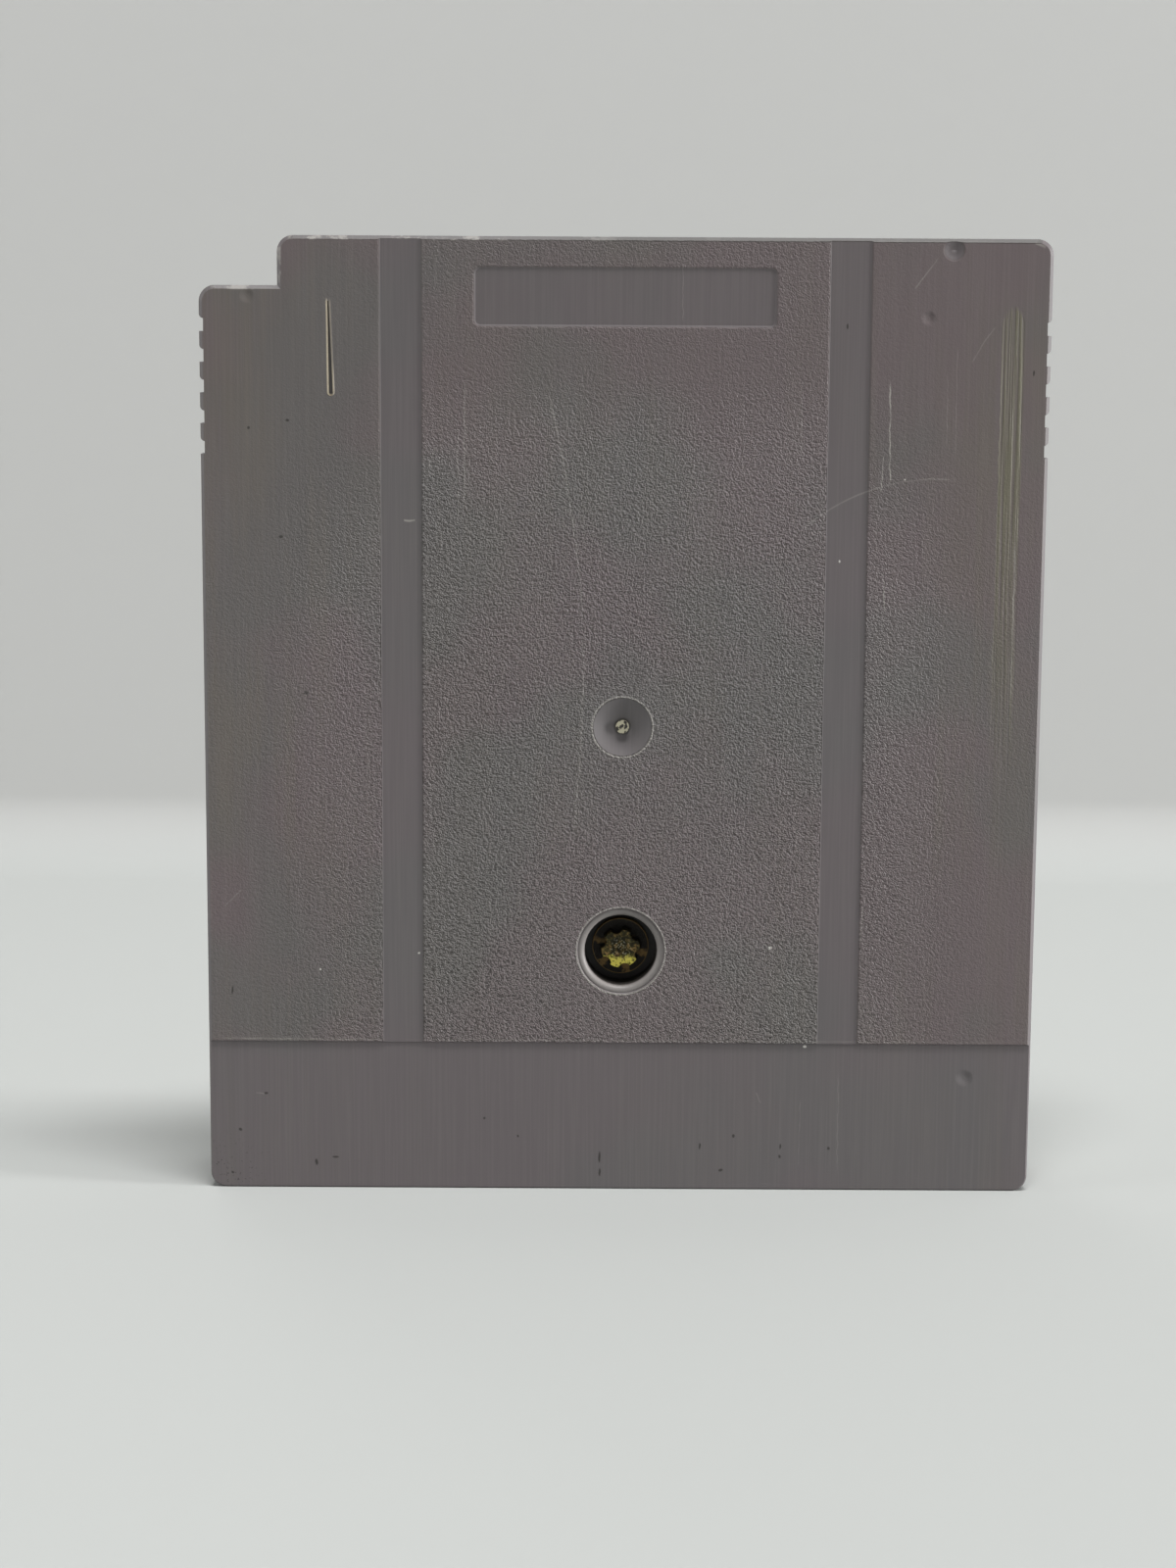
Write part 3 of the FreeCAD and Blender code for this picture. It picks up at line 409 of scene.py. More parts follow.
SCRATCHES = (
    Scratch((-5.2, 55.6), (-2.7, 39.5), bow=0.35, light=0.4),
    Scratch((-2.7, 39.5), (-3.4, 24.6), bow=0.25, light=0.3),
    Scratch((17.75, 56.2), (17.9, 49.0), width=0.07, light=1.0),
    Scratch((17.45, 51.2), (17.3, 48.6), width=0.06, light=0.8),
    Scratch((17.6, 42.8), (17.7, 40.5), width=0.06, light=0.5),
    Scratch((11.1, 45.3), (22.9, 49.5), bow=1.45, light=0.3),
    Scratch((20.85, 64.3), (19.2, 62.1), width=0.06, light=0.4),
    Scratch((24.8, 59.8), (23.2, 57.3), width=0.06, bow=-0.1, light=0.25),
    Scratch((3.8, 65.2), (3.85, 59.8), width=0.05, light=0.25),
    Scratch((11.85, 56.0), (11.9, 50.6), width=0.06, light=0.25),
    Scratch((-11.2, 52.8), (-11.2, 46.0), width=0.06, light=0.4),
    Scratch((-10.75, 56.1), (-10.75, 47.3), width=0.06, light=0.45),
    Scratch((-13.2, 50.1), (-12.65, 51.6), width=0.07, light=0.25),
    Scratch((-14.9, 46.6), (-14.05, 46.64), width=0.09, bow=-0.05, light=0.8),
    Scratch((21.6, 56.7), (21.65, 51.5), width=0.06, light=0.2),
    Scratch((22.2, 58.6), (22.25, 50.8), width=0.06, light=0.2),
    Scratch((-25.3, 6.8), (-24.7, 6.7), width=0.07, light=0.3),
    Scratch((27.2, 65.25), (27.95, 64.95), width=0.12, light=0.6),
    Scratch((26.45, 45.5), (26.4, 34.0), width=0.08, light=0.4),
    Scratch((-27.3, 20.0), (-26.1, 21.2), width=0.06, light=0.3),
    Scratch((16.65, 20.3), (16.5, 17.6), width=0.06, light=0.3),
    Scratch((9.5, 7.0), (9.85, 6.2), width=0.07, light=0.35),
    Scratch((15.2, 8.6), (15.25, 1.0), width=0.05, light=0.2),
    Scratch((12.6, 6.6), (12.5, 1.6), width=0.05, light=0.2),
    Scratch((-27.8, 10.7), (-16.0, 10.64), width=0.09, light=0.4),
    Scratch((-16.0, 10.66), (28.2, 10.66), width=0.07, light=0.2),
)

RIDGES = (
    Scratch((25.25, 60.2), (25.05, 24.0), width=0.07, light=0.6),
    Scratch((25.72, 61.0), (25.6, 46.0), width=0.06, light=0.3),
    Scratch((26.1, 60.8), (26.0, 42.0), width=0.06, light=0.35),
    Scratch((26.55, 60.4), (26.4, 30.0), width=0.07, light=0.6),
)

DENTS = (
    Dent((-25.25, 61.5), 0.55, 0.055),
    Dent((20.25, 60.25), 0.55, 0.07),
    Dent((23.95, 8.1), 0.65, 0.09),
)

SPECKS = (
    Speck((10.3, 17.3), (0.14, 0.12), Grime.DUST),
    Speck((12.85, 10.3), (0.13, 0.1), Grime.DUST),
    Speck((-1.35, 2.3), (0.09, 0.42)),
    Speck((-1.35, 1.2), (0.08, 0.3)),
    Speck((7.95, 3.85), (0.1, 0.14)),
    Speck((11.2, 3.1), (0.07, 0.2)),
    Speck((11.2, 2.4), (0.1, 0.14)),
    Speck((14.6, 3.0), (0.1, 0.12)),
    Speck((5.6, 3.1), (0.07, 0.24)),
    Speck((7.1, 1.4), (0.14, 0.1)),
    Speck((-26.4, 4.15), (0.14, 0.13)),
    Speck((-27.0, 1.05), (0.12, 0.1)),
    Speck((-21.1, 1.85), (0.12, 0.25)),
    Speck((-9.4, 5.05), (0.09, 0.09)),
    Speck((-7.1, 3.75), (0.09, 0.1)),
    Speck((-21.55, 34.85), (0.2, 0.12)),
    Speck((14.85, 59.7), (0.07, 0.2)),
    Speck((-26.85, 14.1), (0.07, 0.3)),
    Speck((-22.65, 53.25), (0.14, 0.1)),
    Speck((-25.25, 52.75), (0.1, 0.1)),
    Speck((-23.15, 45.45), (0.18, 0.1)),
    Speck((-24.6, 6.75), (0.14, 0.09)),
    Speck((-19.8, 2.2), (0.25, 0.08)),
    Speck((27.35, 56.65), (0.07, 0.2)),
    Speck((-13.9, 16.8), (0.07, 0.07), Grime.DUST),
    Speck((-20.75, 15.6), (0.08, 0.08), Grime.DUST),
    Speck((14.6, 44.0), (0.06, 0.1), Grime.DUST),
    Speck((18.85, 49.5), (0.06, 0.06), Grime.DUST),
)


@dataclass(frozen=True)
class Extent:
    """How far the case reaches, in millimetres: half its width, half its thickness and its height."""

    half_width: float
    face: float
    height: float

    @classmethod
    def of_box(cls, box: tuple[Vector, Vector]) -> "Extent":
        """Take it from a box in metres that is centred on x and y and stands on the floor."""
        return cls(*(box[1] / MM))


@dataclass(frozen=True)
class Finish:
    """The look of a surface. Its graph, shaded point and masks are made once, when first asked for.

    In its fields, a range is a pair of noise values between which a mask eases, and a share is a weight.
    """

    name: str

    @cached_property
    def graph(self) -> Graph:
        """The material's graph."""
        return Graph(self.name)

    @cached_property
    def spot(self) -> Spot:
        """The shaded point."""
        return self.graph.spot()

    @cached_property
    def material(self) -> bpy.types.Material:
        """The finished material."""
        raise NotImplementedError


@dataclass(frozen=True)
class ShellPlastic(Finish):
    """Warm grey moulded plastic, years old: what both shells share."""

    case: Extent
    grey: Colour = (0.122, 0.097, 0.1)
    cool: Colour = (0.104, 0.099, 0.095)
    yellowed: Colour = (0.122, 0.105, 0.09)
    pale: Colour = (0.3, 0.285, 0.26)
    dark_brown: Colour = (0.03, 0.026, 0.022)
    roughness: float = 0.5
    pit_roughness: float = 0.15
    grain_scale: float = 4.9
    grain_range: Point = (0.3, 0.66)
    grain_depth: float = 0.12
    fine_grain: float = 2.3
    fine_share: float = 0.3
    brush_scale: Triple = (7.0, 1.0, 0.12)
    brush_least: float = 0.4
    brush_share: float = 0.2
    brush_depth: float = 0.004
    streak_scale: Triple = (1.6, 1.0, 0.05)
    streak_share: float = 0.4
    cloud_scale: Triple = (0.16, 0.16, 0.07)
    yellow_range: Point = (0.42, 0.68)
    yellow_margin: float = 14.0
    yellow_shares: Point = (0.25, 0.75)
    cool_scale: float = 0.07
    cool_range: Point = (0.46, 0.62)
    cool_share: float = 0.8
    notch_width: float = 5.25
    notch_height: float = 3.3
    bevel: float = 0.25
    bevel_fade: Point = (0.09, 0.01)
    wear_scale: Triple = (0.5, 1.0, 0.4)
    wear_range: Point = (0.5, 0.6)

    @cached_property
    def pits(self) -> Wire:
        """Spark-eroded grain: close-set pits between winding ridges.

        Two layers of noise, the coarser one warped, are added and pressed flat at the top.

        Returns:
            Height from 0 in a pit to 1 on a ridge.
        """
        coarse = self.graph.noise(self.spot.place, self.grain_scale, detail=1.0, Distortion=0.5)
        fine = self.graph.noise(self.spot.place, self.grain_scale * self.fine_grain, detail=0.0)
        both = (1 - self.fine_share) * coarse + self.fine_share * fine
        return self.graph.smooth(both, *self.grain_range)

    @cached_property
    def strength(self) -> Wire:
        """How deep the grain is, from 0 to 1."""
        raise NotImplementedError

    @cached_property
    def brushed(self) -> Wire:
        """Fine upright rubbing: noise from 0 to 1, drawn out along z."""
        return self.graph.noise(self.spot.place, self.brush_scale)

    @cached_property
    def aged(self) -> Wire:
        """Base colour with broad cooler patches, faint upright streaks and yellowed clouds.

        Returns:
            The colour.
        """
        graph, spot, side = self.graph, self.spot, self.case.half_width
        streaks = graph.noise(spot.place, self.streak_scale)
        clouds = graph.noise(spot.place, self.cloud_scale, detail=3.0)
        both = (1 - self.streak_share) * clouds + self.streak_share * streaks
        edge = graph.smooth(abs(spot.x), side - self.yellow_margin, side)
        yellow = graph.smooth(both, *self.yellow_range) * graph.between(edge, self.yellow_shares)
        broad = graph.smooth(graph.noise(spot.place, self.cool_scale), *self.cool_range)
        return graph.mix(yellow, graph.mix(self.cool_share * broad, self.grey, self.cool), self.yellowed)

    def rubbed(self, colour: Wire) -> Wire:
        """Lay the paler streaks of upright rubbing over a colour."""
        return self.graph.mix(self.brush_share * (self.brushed - self.brush_least), colour, self.pale)

    def rough(self, smoothest: Number) -> Wire:
        """Roughness, which is higher in the pits of the grain than elsewhere."""
        return smoothest + (1 - self.pits) * self.strength * self.pit_roughness

    def relief(self, depth: Number) -> Wire:
        """Height in millimetres of the rubbing and of grain that is this deep at its full strength."""
        return (self.pits - 1) * self.strength * depth + (self.brushed - MIDDLE) * self.brush_depth

    def edged(self, dark: Number, wear: Number, colour: Wire) -> Wire:
        """Colour of the bevel round the face: darkened, which is painted shade with handling grime, and
        rubbed pale in patches.

        On the bevel, the depth below the face and the distance inwards from the outline add up to the
        bevel's size. Off it, on the face and on the sides, their sum is larger.

        Args:
            dark: how dark the bevel is painted, as painted shade with handling grime.
            wear: how pale the patches are.
            colour: the plastic's colour.

        Returns:
            The new colour.
        """
        graph, spot, case = self.graph, self.spot, self.case
        notch_x = self.notch_width - case.half_width
        notch_z = case.height - self.notch_height
        beside = graph.most(spot.x - notch_x, notch_z - spot.z)
        inwards = graph.least(case.half_width - abs(spot.x), spot.z, case.height - spot.z, beside)
        below = case.face - abs(spot.y)
        edge = graph.smooth(inwards + below, *(self.bevel + gap for gap in self.bevel_fade))
        patches = graph.noise(spot.place, self.wear_scale, detail=4.0, Roughness=0.7)
        # Painted shade with handling grime on the bevel, which the lamps light brightly.
        colour = graph.mix(edge * dark, colour, self.dark_brown)
        return graph.mix(edge * graph.smooth(patches, *self.wear_range) * wear, colour, self.pale)


@dataclass(frozen=True)
class BackPlastic(ShellPlastic):
    """The back shell: grained panels, smooth stripes and band, and the marks of use.

    A name that ends in depth is a pair of depths below the face, between which a mask eases from 0 to 1.
    """

    polished: Colour = (0.109, 0.1, 0.105)
    polish_share: float = 0.6
    outside_depth: Point = (0.5, 0.3)
    panel_depth: Point = (0.04, 0.01)
    recess_depth: Point = (0.02, 0.05)
    step_top_depth: Point = (0.0, 0.02)
    step_foot_depth: Point = (0.06, 0.05)
    step_shade_shares: Point = (0.04, 0.18)
    stripe_side: Point = (13.0, 13.2)
    wander: Point = (0.24, 0.16)
    wander_scale: float = 1.3
    patch_scale: float = 0.09
    patch_strength: Point = (0.65, 1.35)
    weak_sides: Point = (12.0, 26.5)
    weak_sides_share: float = 0.85
    weak_top: Point = (45.0, 58.0)
    weak_top_share: float = 0.78
    worn_sides: Point = (13.0, 17.0)
    worn_heights: Point = (36.0, 52.0)
    worn_share: float = 0.6
    dusty_heights: Point = (34.0, 14.0)
    dust_share: float = 0.06
    dust_fill: float = 0.3
    pit_dirt: Point = (0.33, 0.73)
    held_heights: Point = (40.0, 60.0)
    held_share: float = 0.08
    break_scale: float = 0.9
    break_range: Point = (0.32, 0.6)
    break_light: Point = (0.4, 1.0)
    scratch_gloss: float = 0.1

    @cached_property
    def material(self) -> bpy.types.Material:
        """Build the finish: the moulded face, and each mark over the one before it.

        Returns:
            The material.
        """
        colour = self.moulded
        height = self.relief((1 - self.dust_fill * self.dusty) * self.grain_depth)
        for kind in MARKS:
            mark = kind(self)
            colour = mark.paint(colour)
            height = mark.lift(height)
        rough = self.rough(self.roughness - self.scratch_gloss * self.scratches)
        return self.graph.finish(Base_Color=colour, Roughness=rough, Normal=self.graph.bump(height))

    def sunk(self, depths: Point) -> Wire:
        """Ease from 0 to 1 between two depths below the face."""
        return self.graph.smooth(self.spot.y, *(depth - self.case.face for depth in depths))

    @cached_property
    def outside(self) -> Wire:
        """1 on the outside of the shell and 0 inside it."""
        return self.sunk(self.outside_depth)

    @cached_property
    def dusty(self) -> Wire:
        """1 low down, where dust lies in the grain, and 0 higher up."""
        return self.graph.smooth(self.spot.z, *self.dusty_heights)

    @cached_property
    def uneven(self) -> Wire:
        """The shaded point in the plane of the face, moved a little by noise so that lines wander.

        Returns:
            The moved point.
        """
        swing_x, swing_z = self.wander
        noise = self.graph.noise(self.spot.place, self.wander_scale)
        shift = (-swing_x / 2, 0.0, -swing_z / 2)
        flat = self.graph.vector("MULTIPLY_ADD", self.spot.place, (1.0, 0.0, 1.0), shift)
        return self.graph.vector("MULTIPLY_ADD", noise, (swing_x, 0.0, swing_z), flat)

    @cached_property
    def strength(self) -> Wire:
        """How deep the grain is: full in the middle, weak near the sides and the top, none off the panels.

        Returns:
            A factor from 0 to 1.
        """
        graph, spot = self.graph, self.spot
        across = abs(spot.x)
        beside = self.weak_sides_share * graph.smooth(across, *self.weak_sides)
        worn = self.worn_share * graph.smooth(across, *self.worn_sides)
        worn = worn * graph.smooth(spot.z, *self.worn_heights)
        top = self.weak_top_share * graph.smooth(spot.z, *self.weak_top)
        patches = graph.between(graph.noise(spot.place, self.patch_scale, detail=1.0), self.patch_strength)
        return self.sunk(self.panel_depth) * (1 - beside) * (1 - worn) * (1 - top) * patches

    @cached_property
    def scratches(self) -> Wire:
        """How pale the fine scratches make the surface, broken up by noise.

        Returns:
            The share of the pale colour.
        """
        graph = self.graph
        broken = graph.smooth(graph.noise(self.spot.place, self.break_scale), *self.break_range)
        return drawn(SCRATCHES, self.uneven) * graph.between(broken, self.break_light) * self.outside

    @cached_property
    def moulded(self) -> Wire:
        """Colour of the aged plastic, with dirt in the pits, painted shade on the steps, and rubbed upright.

        The steps are the slopes at the edges of the stripes, the plaque and the band, found by their depth.

        Returns:
            The colour.
        """
        graph, spot = self.graph, self.spot
        pit = 1 - self.pits
        dirty = pit * self.strength * graph.between(self.dusty * pit, self.pit_dirt)
        step_shade = graph.between(graph.smooth(abs(spot.x), *self.stripe_side), self.step_shade_shares)
        steps = self.sunk(self.step_top_depth) * self.sunk(self.step_foot_depth) * self.outside
        held = self.held_share * graph.smooth(spot.z, *self.held_heights)
        colour = graph.mix(self.polish_share * self.sunk(self.recess_depth), self.aged, self.polished)
        colour = graph.mix(self.dust_share * self.dusty * self.strength, colour, self.pale)
        colour = graph.mix(dirty, colour, NEAR_BLACK)
        # Painted shade: the step slopes darkened, more at the stripes than at the plaque.
        colour = graph.mix(steps * step_shade, colour, NEAR_BLACK)
        return self.rubbed(graph.mix(held, colour, self.dark_brown))


@dataclass(frozen=True)
class Mark:
    """Something that moulding or use left on the back face."""

    shell: BackPlastic

    def paint(self, colour: Wire) -> Wire:
        """Lay the mark over a colour, unless it leaves none."""
        return colour

    def lift(self, height: Wire) -> Wire:
        """Add the mark's own relief to a height in millimetres, unless it has none."""
        return height


@dataclass(frozen=True)
class Scrape(Mark):
    """A long scrape by the right edge: upright ridges that close in an arch and fade downwards.

    The width is cut by a parabola at the upper end. Between the ridges drawn by hand lie finer ones.
    """

    olive: Colour = (0.122, 0.112, 0.079)
    straw: Colour = (0.23, 0.22, 0.16)
    sides: Point = (25.2, 26.65)
    side_fade: Point = (1.08, 0.95)
    top: float = 61.2
    foot: float = 22.0
    arch: float = 0.9
    arch_fade: float = 0.5
    full_drop: float = 10.0
    full_shares: Point = (0.08, 1.0)
    face_depth: Point = (0.3, 0.1)
    tint_shares: Point = (0.25, 0.95)
    ridge_shares: Point = (0.5, 1.0)
    fine_scale: Triple = (5.2, 1.0, 0.09)
    fine_range: Point = (0.36, 0.64)
    fine_height: float = 0.03

    @cached_property
    def fine(self) -> Wire:
        """The finer ridges, from 0 to 1: noise drawn out along z."""
        graph = self.shell.graph
        return graph.smooth(graph.noise(self.shell.spot.place, self.fine_scale), *self.fine_range)

    @cached_property
    def face(self) -> Wire:
        """How strong the scrape is: 0 inside the shell, faint at its foot and full further up.

        Returns:
            A factor from 0 to 1.
        """
        graph = self.shell.graph
        fade = graph.smooth(self.shell.spot.z, self.foot, self.top - self.full_drop)
        return graph.between(fade, self.full_shares) * self.shell.sunk(self.face_depth)

    @cached_property
    def inside(self) -> Wire:
        """The same strength within the scrape's outline, and 0 round it.

        Returns:
            A factor from 0 to 1.
        """
        graph, spot = self.shell.graph, self.shell.spot
        left, right = self.sides
        half = (right - left) / 2
        across = abs(spot.x - (left + half)) / half
        bowed = across * across * self.arch + spot.z
        arch = graph.smooth(bowed, self.top, self.top - self.arch_fade)
        return graph.smooth(across, *self.side_fade) * arch * self.face

    def paint(self, colour: Wire) -> Wire:
        """Discolour the scrape and lighten the drawn ridges.

        Args:
            colour: the colour below.

        Returns:
            The new colour.
        """
        graph = self.shell.graph
        tint = self.inside * graph.between(self.fine, self.tint_shares)
        ridges = drawn(RIDGES, self.shell.uneven) * self.face * graph.between(self.fine, self.ridge_shares)
        return graph.mix(ridges, graph.mix(tint, colour, self.olive), self.straw)

    def lift(self, height: Wire) -> Wire:
        """Add the finer ridges to a height."""
        return height + (self.fine - MIDDLE) * self.inside * self.fine_height


@dataclass(frozen=True)
class FineScratches(Mark):
    """Fine pale lines all over the face."""

    def paint(self, colour: Wire) -> Wire:
        """Lay the lines over a colour."""
        return self.shell.graph.mix(self.shell.scratches, colour, self.shell.pale)


@dataclass(frozen=True)
class ShadedWornEdges(Mark):
    """The upper edges, darkened with painted shade and handling grime and rubbed pale, most on the side of
    the cut-away corner.

    Drops are measured down from the top. Shares are those far from that corner and close to it.
    """

    near_corner: Point = (2.0, -9.0)
    dark_drops: Point = (0.9, 0.4)
    dark_shares: Point = (0.85, 0.45)
    wear_heights: Point = (58.0, 60.0)
    wear_shares: Point = (0.05, 0.55)

    def paint(self, colour: Wire) -> Wire:
        """Paint shade with grime on the edges, and rub them.

        Args:
            colour: the colour below.

        Returns:
            The new colour.
        """
        shell, graph, spot = self.shell, self.shell.graph, self.shell.spot
        near = graph.smooth(spot.x, *self.near_corner)
        upper = graph.smooth(spot.z, *(shell.case.height - drop for drop in self.dark_drops))
        worn = graph.smooth(spot.z, *self.wear_heights)
        # Painted shade on the upper bevel, which the overhead lamp lights, with handling grime.
        dark = upper * graph.between(near, self.dark_shares)
        return shell.edged(dark, worn * graph.between(near, self.wear_shares), colour)


@dataclass(frozen=True)
class Rims(Mark):
    """Fine raised lines round the gate's dish and the screw's well, made pale: a painted highlight."""

    dish_radius: float = 2.09
    well_radius: float = 3.07
    line: Point = (0.07, 0.03)
    line_depth: Point = (0.06, 0.02)
    line_height: float = 0.02
    share: float = 0.75

    @cached_property
    def lines(self) -> Wire:
        """1 on either line, from the distance to its centre.

        Returns:
            The mask.
        """
        graph, place = self.shell.graph, self.shell.spot.place
        dish = abs(graph.from_point(place, GATE) - self.dish_radius)
        well = abs(graph.from_point(place, SCREW_AXIS) - self.well_radius)
        return graph.smooth(graph.least(dish, well), *self.line) * self.shell.sunk(self.line_depth)

    def paint(self, colour: Wire) -> Wire:
        """Lay the lines over a colour, pale as a painted highlight."""
        # Painted highlight: the rims pale all round.
        return self.shell.graph.mix(self.share * self.lines, colour, self.shell.pale)

    def lift(self, height: Wire) -> Wire:
        """Add the lines to a height."""
        return height + self.lines * self.line_height


@dataclass(frozen=True)
class Gouge(Mark):
    """What lies along the gouge near the corner: torn lips that were pushed up, with a painted highlight, and
    dirt with painted shade in it.

    The gouge is a leaning line with a round foot that narrows upwards. The lips follow its outline, and they
    are painted palest on the left and at the foot, where light falls on them. Ends are shares of its length.
    """

    torn: Colour = (0.46, 0.4, 0.3)
    foot: Point = (-19.7, 55.0)
    tip: Point = (-19.85, 61.2)
    half_width: float = 0.14
    taper: float = 0.6
    tip_end: Point = (1.04, 0.97)
    foot_end: Point = (-0.1, -0.04)
    lip_offset: float = 0.04
    lip_line: Point = (0.1, 0.04)
    lip_height: float = 0.04
    lip_share: float = 0.9
    lit_side: Point = (0.06, -0.06)
    lit_end: Point = (0.6, 0.1)
    lit_end_share: float = 0.7
    least_share: float = 0.3
    dirt_and_shade_line: Point = (0.03, -0.02)
    dirt_and_shade_depth: Point = (0.04, 0.1)
    shade_share: float = 0.6

    @cached_property
    def along(self) -> Wire:
        """Height along the gouge, from 0 at its foot to 1 at its tip."""
        return (self.shell.spot.z - self.foot[1]) / (self.tip[1] - self.foot[1])

    @cached_property
    def aside(self) -> Wire:
        """Distance to the right of the leaning line."""
        return self.shell.spot.x - (self.along * (self.tip[0] - self.foot[0]) + self.foot[0])

    @cached_property
    def away(self) -> Wire:
        """Distance outwards from the gouge's outline.

        Returns:
            The distance, which is negative inside.
        """
        graph = self.shell.graph
        half = self.half_width - graph.smooth(self.along, 0.0, 1.0) * (self.half_width * self.taper)
        below = graph.least(self.shell.spot.z - (self.foot[1] + self.half_width), 0.0)
        return graph.math("SQRT", self.aside * self.aside + below * below) - half

    @cached_property
    def ends(self) -> Wire:
        """1 between the foot and the tip."""
        graph = self.shell.graph
        return graph.smooth(self.along, *self.tip_end) * graph.smooth(self.along, *self.foot_end)

    @cached_property
    def lips(self) -> Wire:
        """How high the lips are, and how pale they are painted: palest where light falls on them.

        Returns:
            A factor from 0 to 1.
        """
        graph = self.shell.graph
        left = graph.smooth(self.aside, *self.lit_side)
        low = self.lit_end_share * graph.smooth(self.along, *self.lit_end)
        line = graph.smooth(abs(self.away - self.lip_offset), *self.lip_line)
        return line * self.ends * graph.most(left, low, self.least_share)

    def paint(self, colour: Wire) -> Wire:
        """Lay the torn lips with their painted highlight, and the dirt with painted shade, over a colour.

        Args:
            colour: the colour below.

        Returns:
            The new colour.
        """
        graph = self.shell.graph
        # Dirt with painted shade inside the gouge; painted highlight on the lips.
        dirt = self.shade_share * graph.smooth(self.away, *self.dirt_and_shade_line) * self.ends
        colour = graph.mix(self.lip_share * self.lips, colour, self.torn)
        return graph.mix(dirt * self.shell.sunk(self.dirt_and_shade_depth), colour, NEAR_BLACK)

    def lift(self, height: Wire) -> Wire:
        """Add the lips to a height."""
        return height + self.lips * self.lip_height


@dataclass(frozen=True)
class GateStub(Mark):
    """The stub of the moulding gate in its dish, cream where it broke, with a painted shadow round it.

    Fades are in radii of the stub.
    """

    cream: Colour = (0.34, 0.32, 0.23)
    radius: float = 0.45
    stub_fade: Point = (1.06, 0.98)
    shadow_fade: Point = (1.5, 1.05)
    shade_share: float = 0.5
    break_scale: float = 4.5
    break_range: Point = (0.56, 0.46)

    def paint(self, colour: Wire) -> Wire:
        """Lay the painted shadow and the broken stub over a colour.

        Args:
            colour: the colour below.

        Returns:
            The new colour.
        """
        graph, place = self.shell.graph, self.shell.spot.place
        away = graph.from_point(place, GATE, (self.radius, self.radius))
        broken = graph.smooth(graph.noise(place, self.break_scale), *self.break_range)
        stub = graph.mix(broken, NEAR_BLACK, self.cream)
        # Painted shadow: a dark ring round the stub.
        colour = graph.mix(self.shade_share * graph.smooth(away, *self.shadow_fade), colour, NEAR_BLACK)
        return graph.mix(graph.smooth(away, *self.stub_fade), colour, stub)


@dataclass(frozen=True)
class ScrewWell(Mark):
    """The screw's well, paler at its lip and near-black inside with grime and painted shade."""

    radius: float = 2.5
    grime_and_shade_fade: float = 0.15
    grime_and_shade_depth: Point = (0.35, 0.8)
    grime_and_shade_share: float = 0.95
    lip_radius: float = 2.72
    lip_line: Point = (0.3, 0.18)
    lip_depth: Point = (0.05, 0.1)
    lip_share: float = 0.4

    def paint(self, colour: Wire) -> Wire:
        """Lay the paler lip, and the grime and painted shade inside, over a colour.

        Args:
            colour: the colour below.

        Returns:
            The new colour.
        """
        shell, graph = self.shell, self.shell.graph
        away = graph.from_point(shell.spot.place, SCREW_AXIS)
        lip = graph.smooth(abs(away - self.lip_radius), *self.lip_line) * shell.sunk(self.lip_depth)
        # Painted shade with grime inside the well.
        grime = graph.smooth(away, self.radius + self.grime_and_shade_fade, self.radius) * shell.sunk(self.grime_and_shade_depth)
        colour = graph.mix(self.lip_share * lip, colour, shell.pale)
        return graph.mix(self.grime_and_shade_share * grime, colour, NEAR_BLACK)


@dataclass(frozen=True)
class LooseDirt(Mark):
    """Specks of dirt and dust, and smut in the pits of the lower corner."""

    smut: Point = (-27.5, 1.0)
    smut_radii: Point = (4.5, 3.5)
    smut_fade: Point = (1.0, 0.2)
    smut_pits: Point = (0.12, 0.0)
    smut_share: float = 0.6
    speck_share: float = 0.85

    def paint(self, colour: Wire) -> Wire:
        """Lay the smut and the specks over a colour.

        Args:
            colour: the colour below.

        Returns:
            The new colour.
        """
        shell, graph = self.shell, self.shell.graph
        corner = graph.smooth(graph.from_point(shell.uneven, self.smut, self.smut_radii), *self.smut_fade)
        smut = self.smut_share * graph.smooth(shell.pits, *self.smut_pits) * corner
        colour = graph.mix(smut * shell.outside, colour, NEAR_BLACK)
        for grime in Grime:
            masks = [speck.mask(shell.uneven) for speck in SPECKS if speck.grime is grime]
            colour = graph.mix(self.speck_share * graph.most(*masks) * shell.outside, colour, grime.value)
        return colour


@dataclass(frozen=True)
class Dents(Mark):
    """The shallow round dents."""

    def lift(self, height: Wire) -> Wire:
        """Sink the dents into a height."""
        return reduce(lambda left, dent: left - dent.sink(self.shell.spot.place), DENTS, height)


MARKS: tuple[type[Mark], ...] = (
    Scrape,
    FineScratches,
    ShadedWornEdges,
    Rims,
    Gouge,
    GateStub,
    ScrewWell,
    LooseDirt,
    Dents,
)


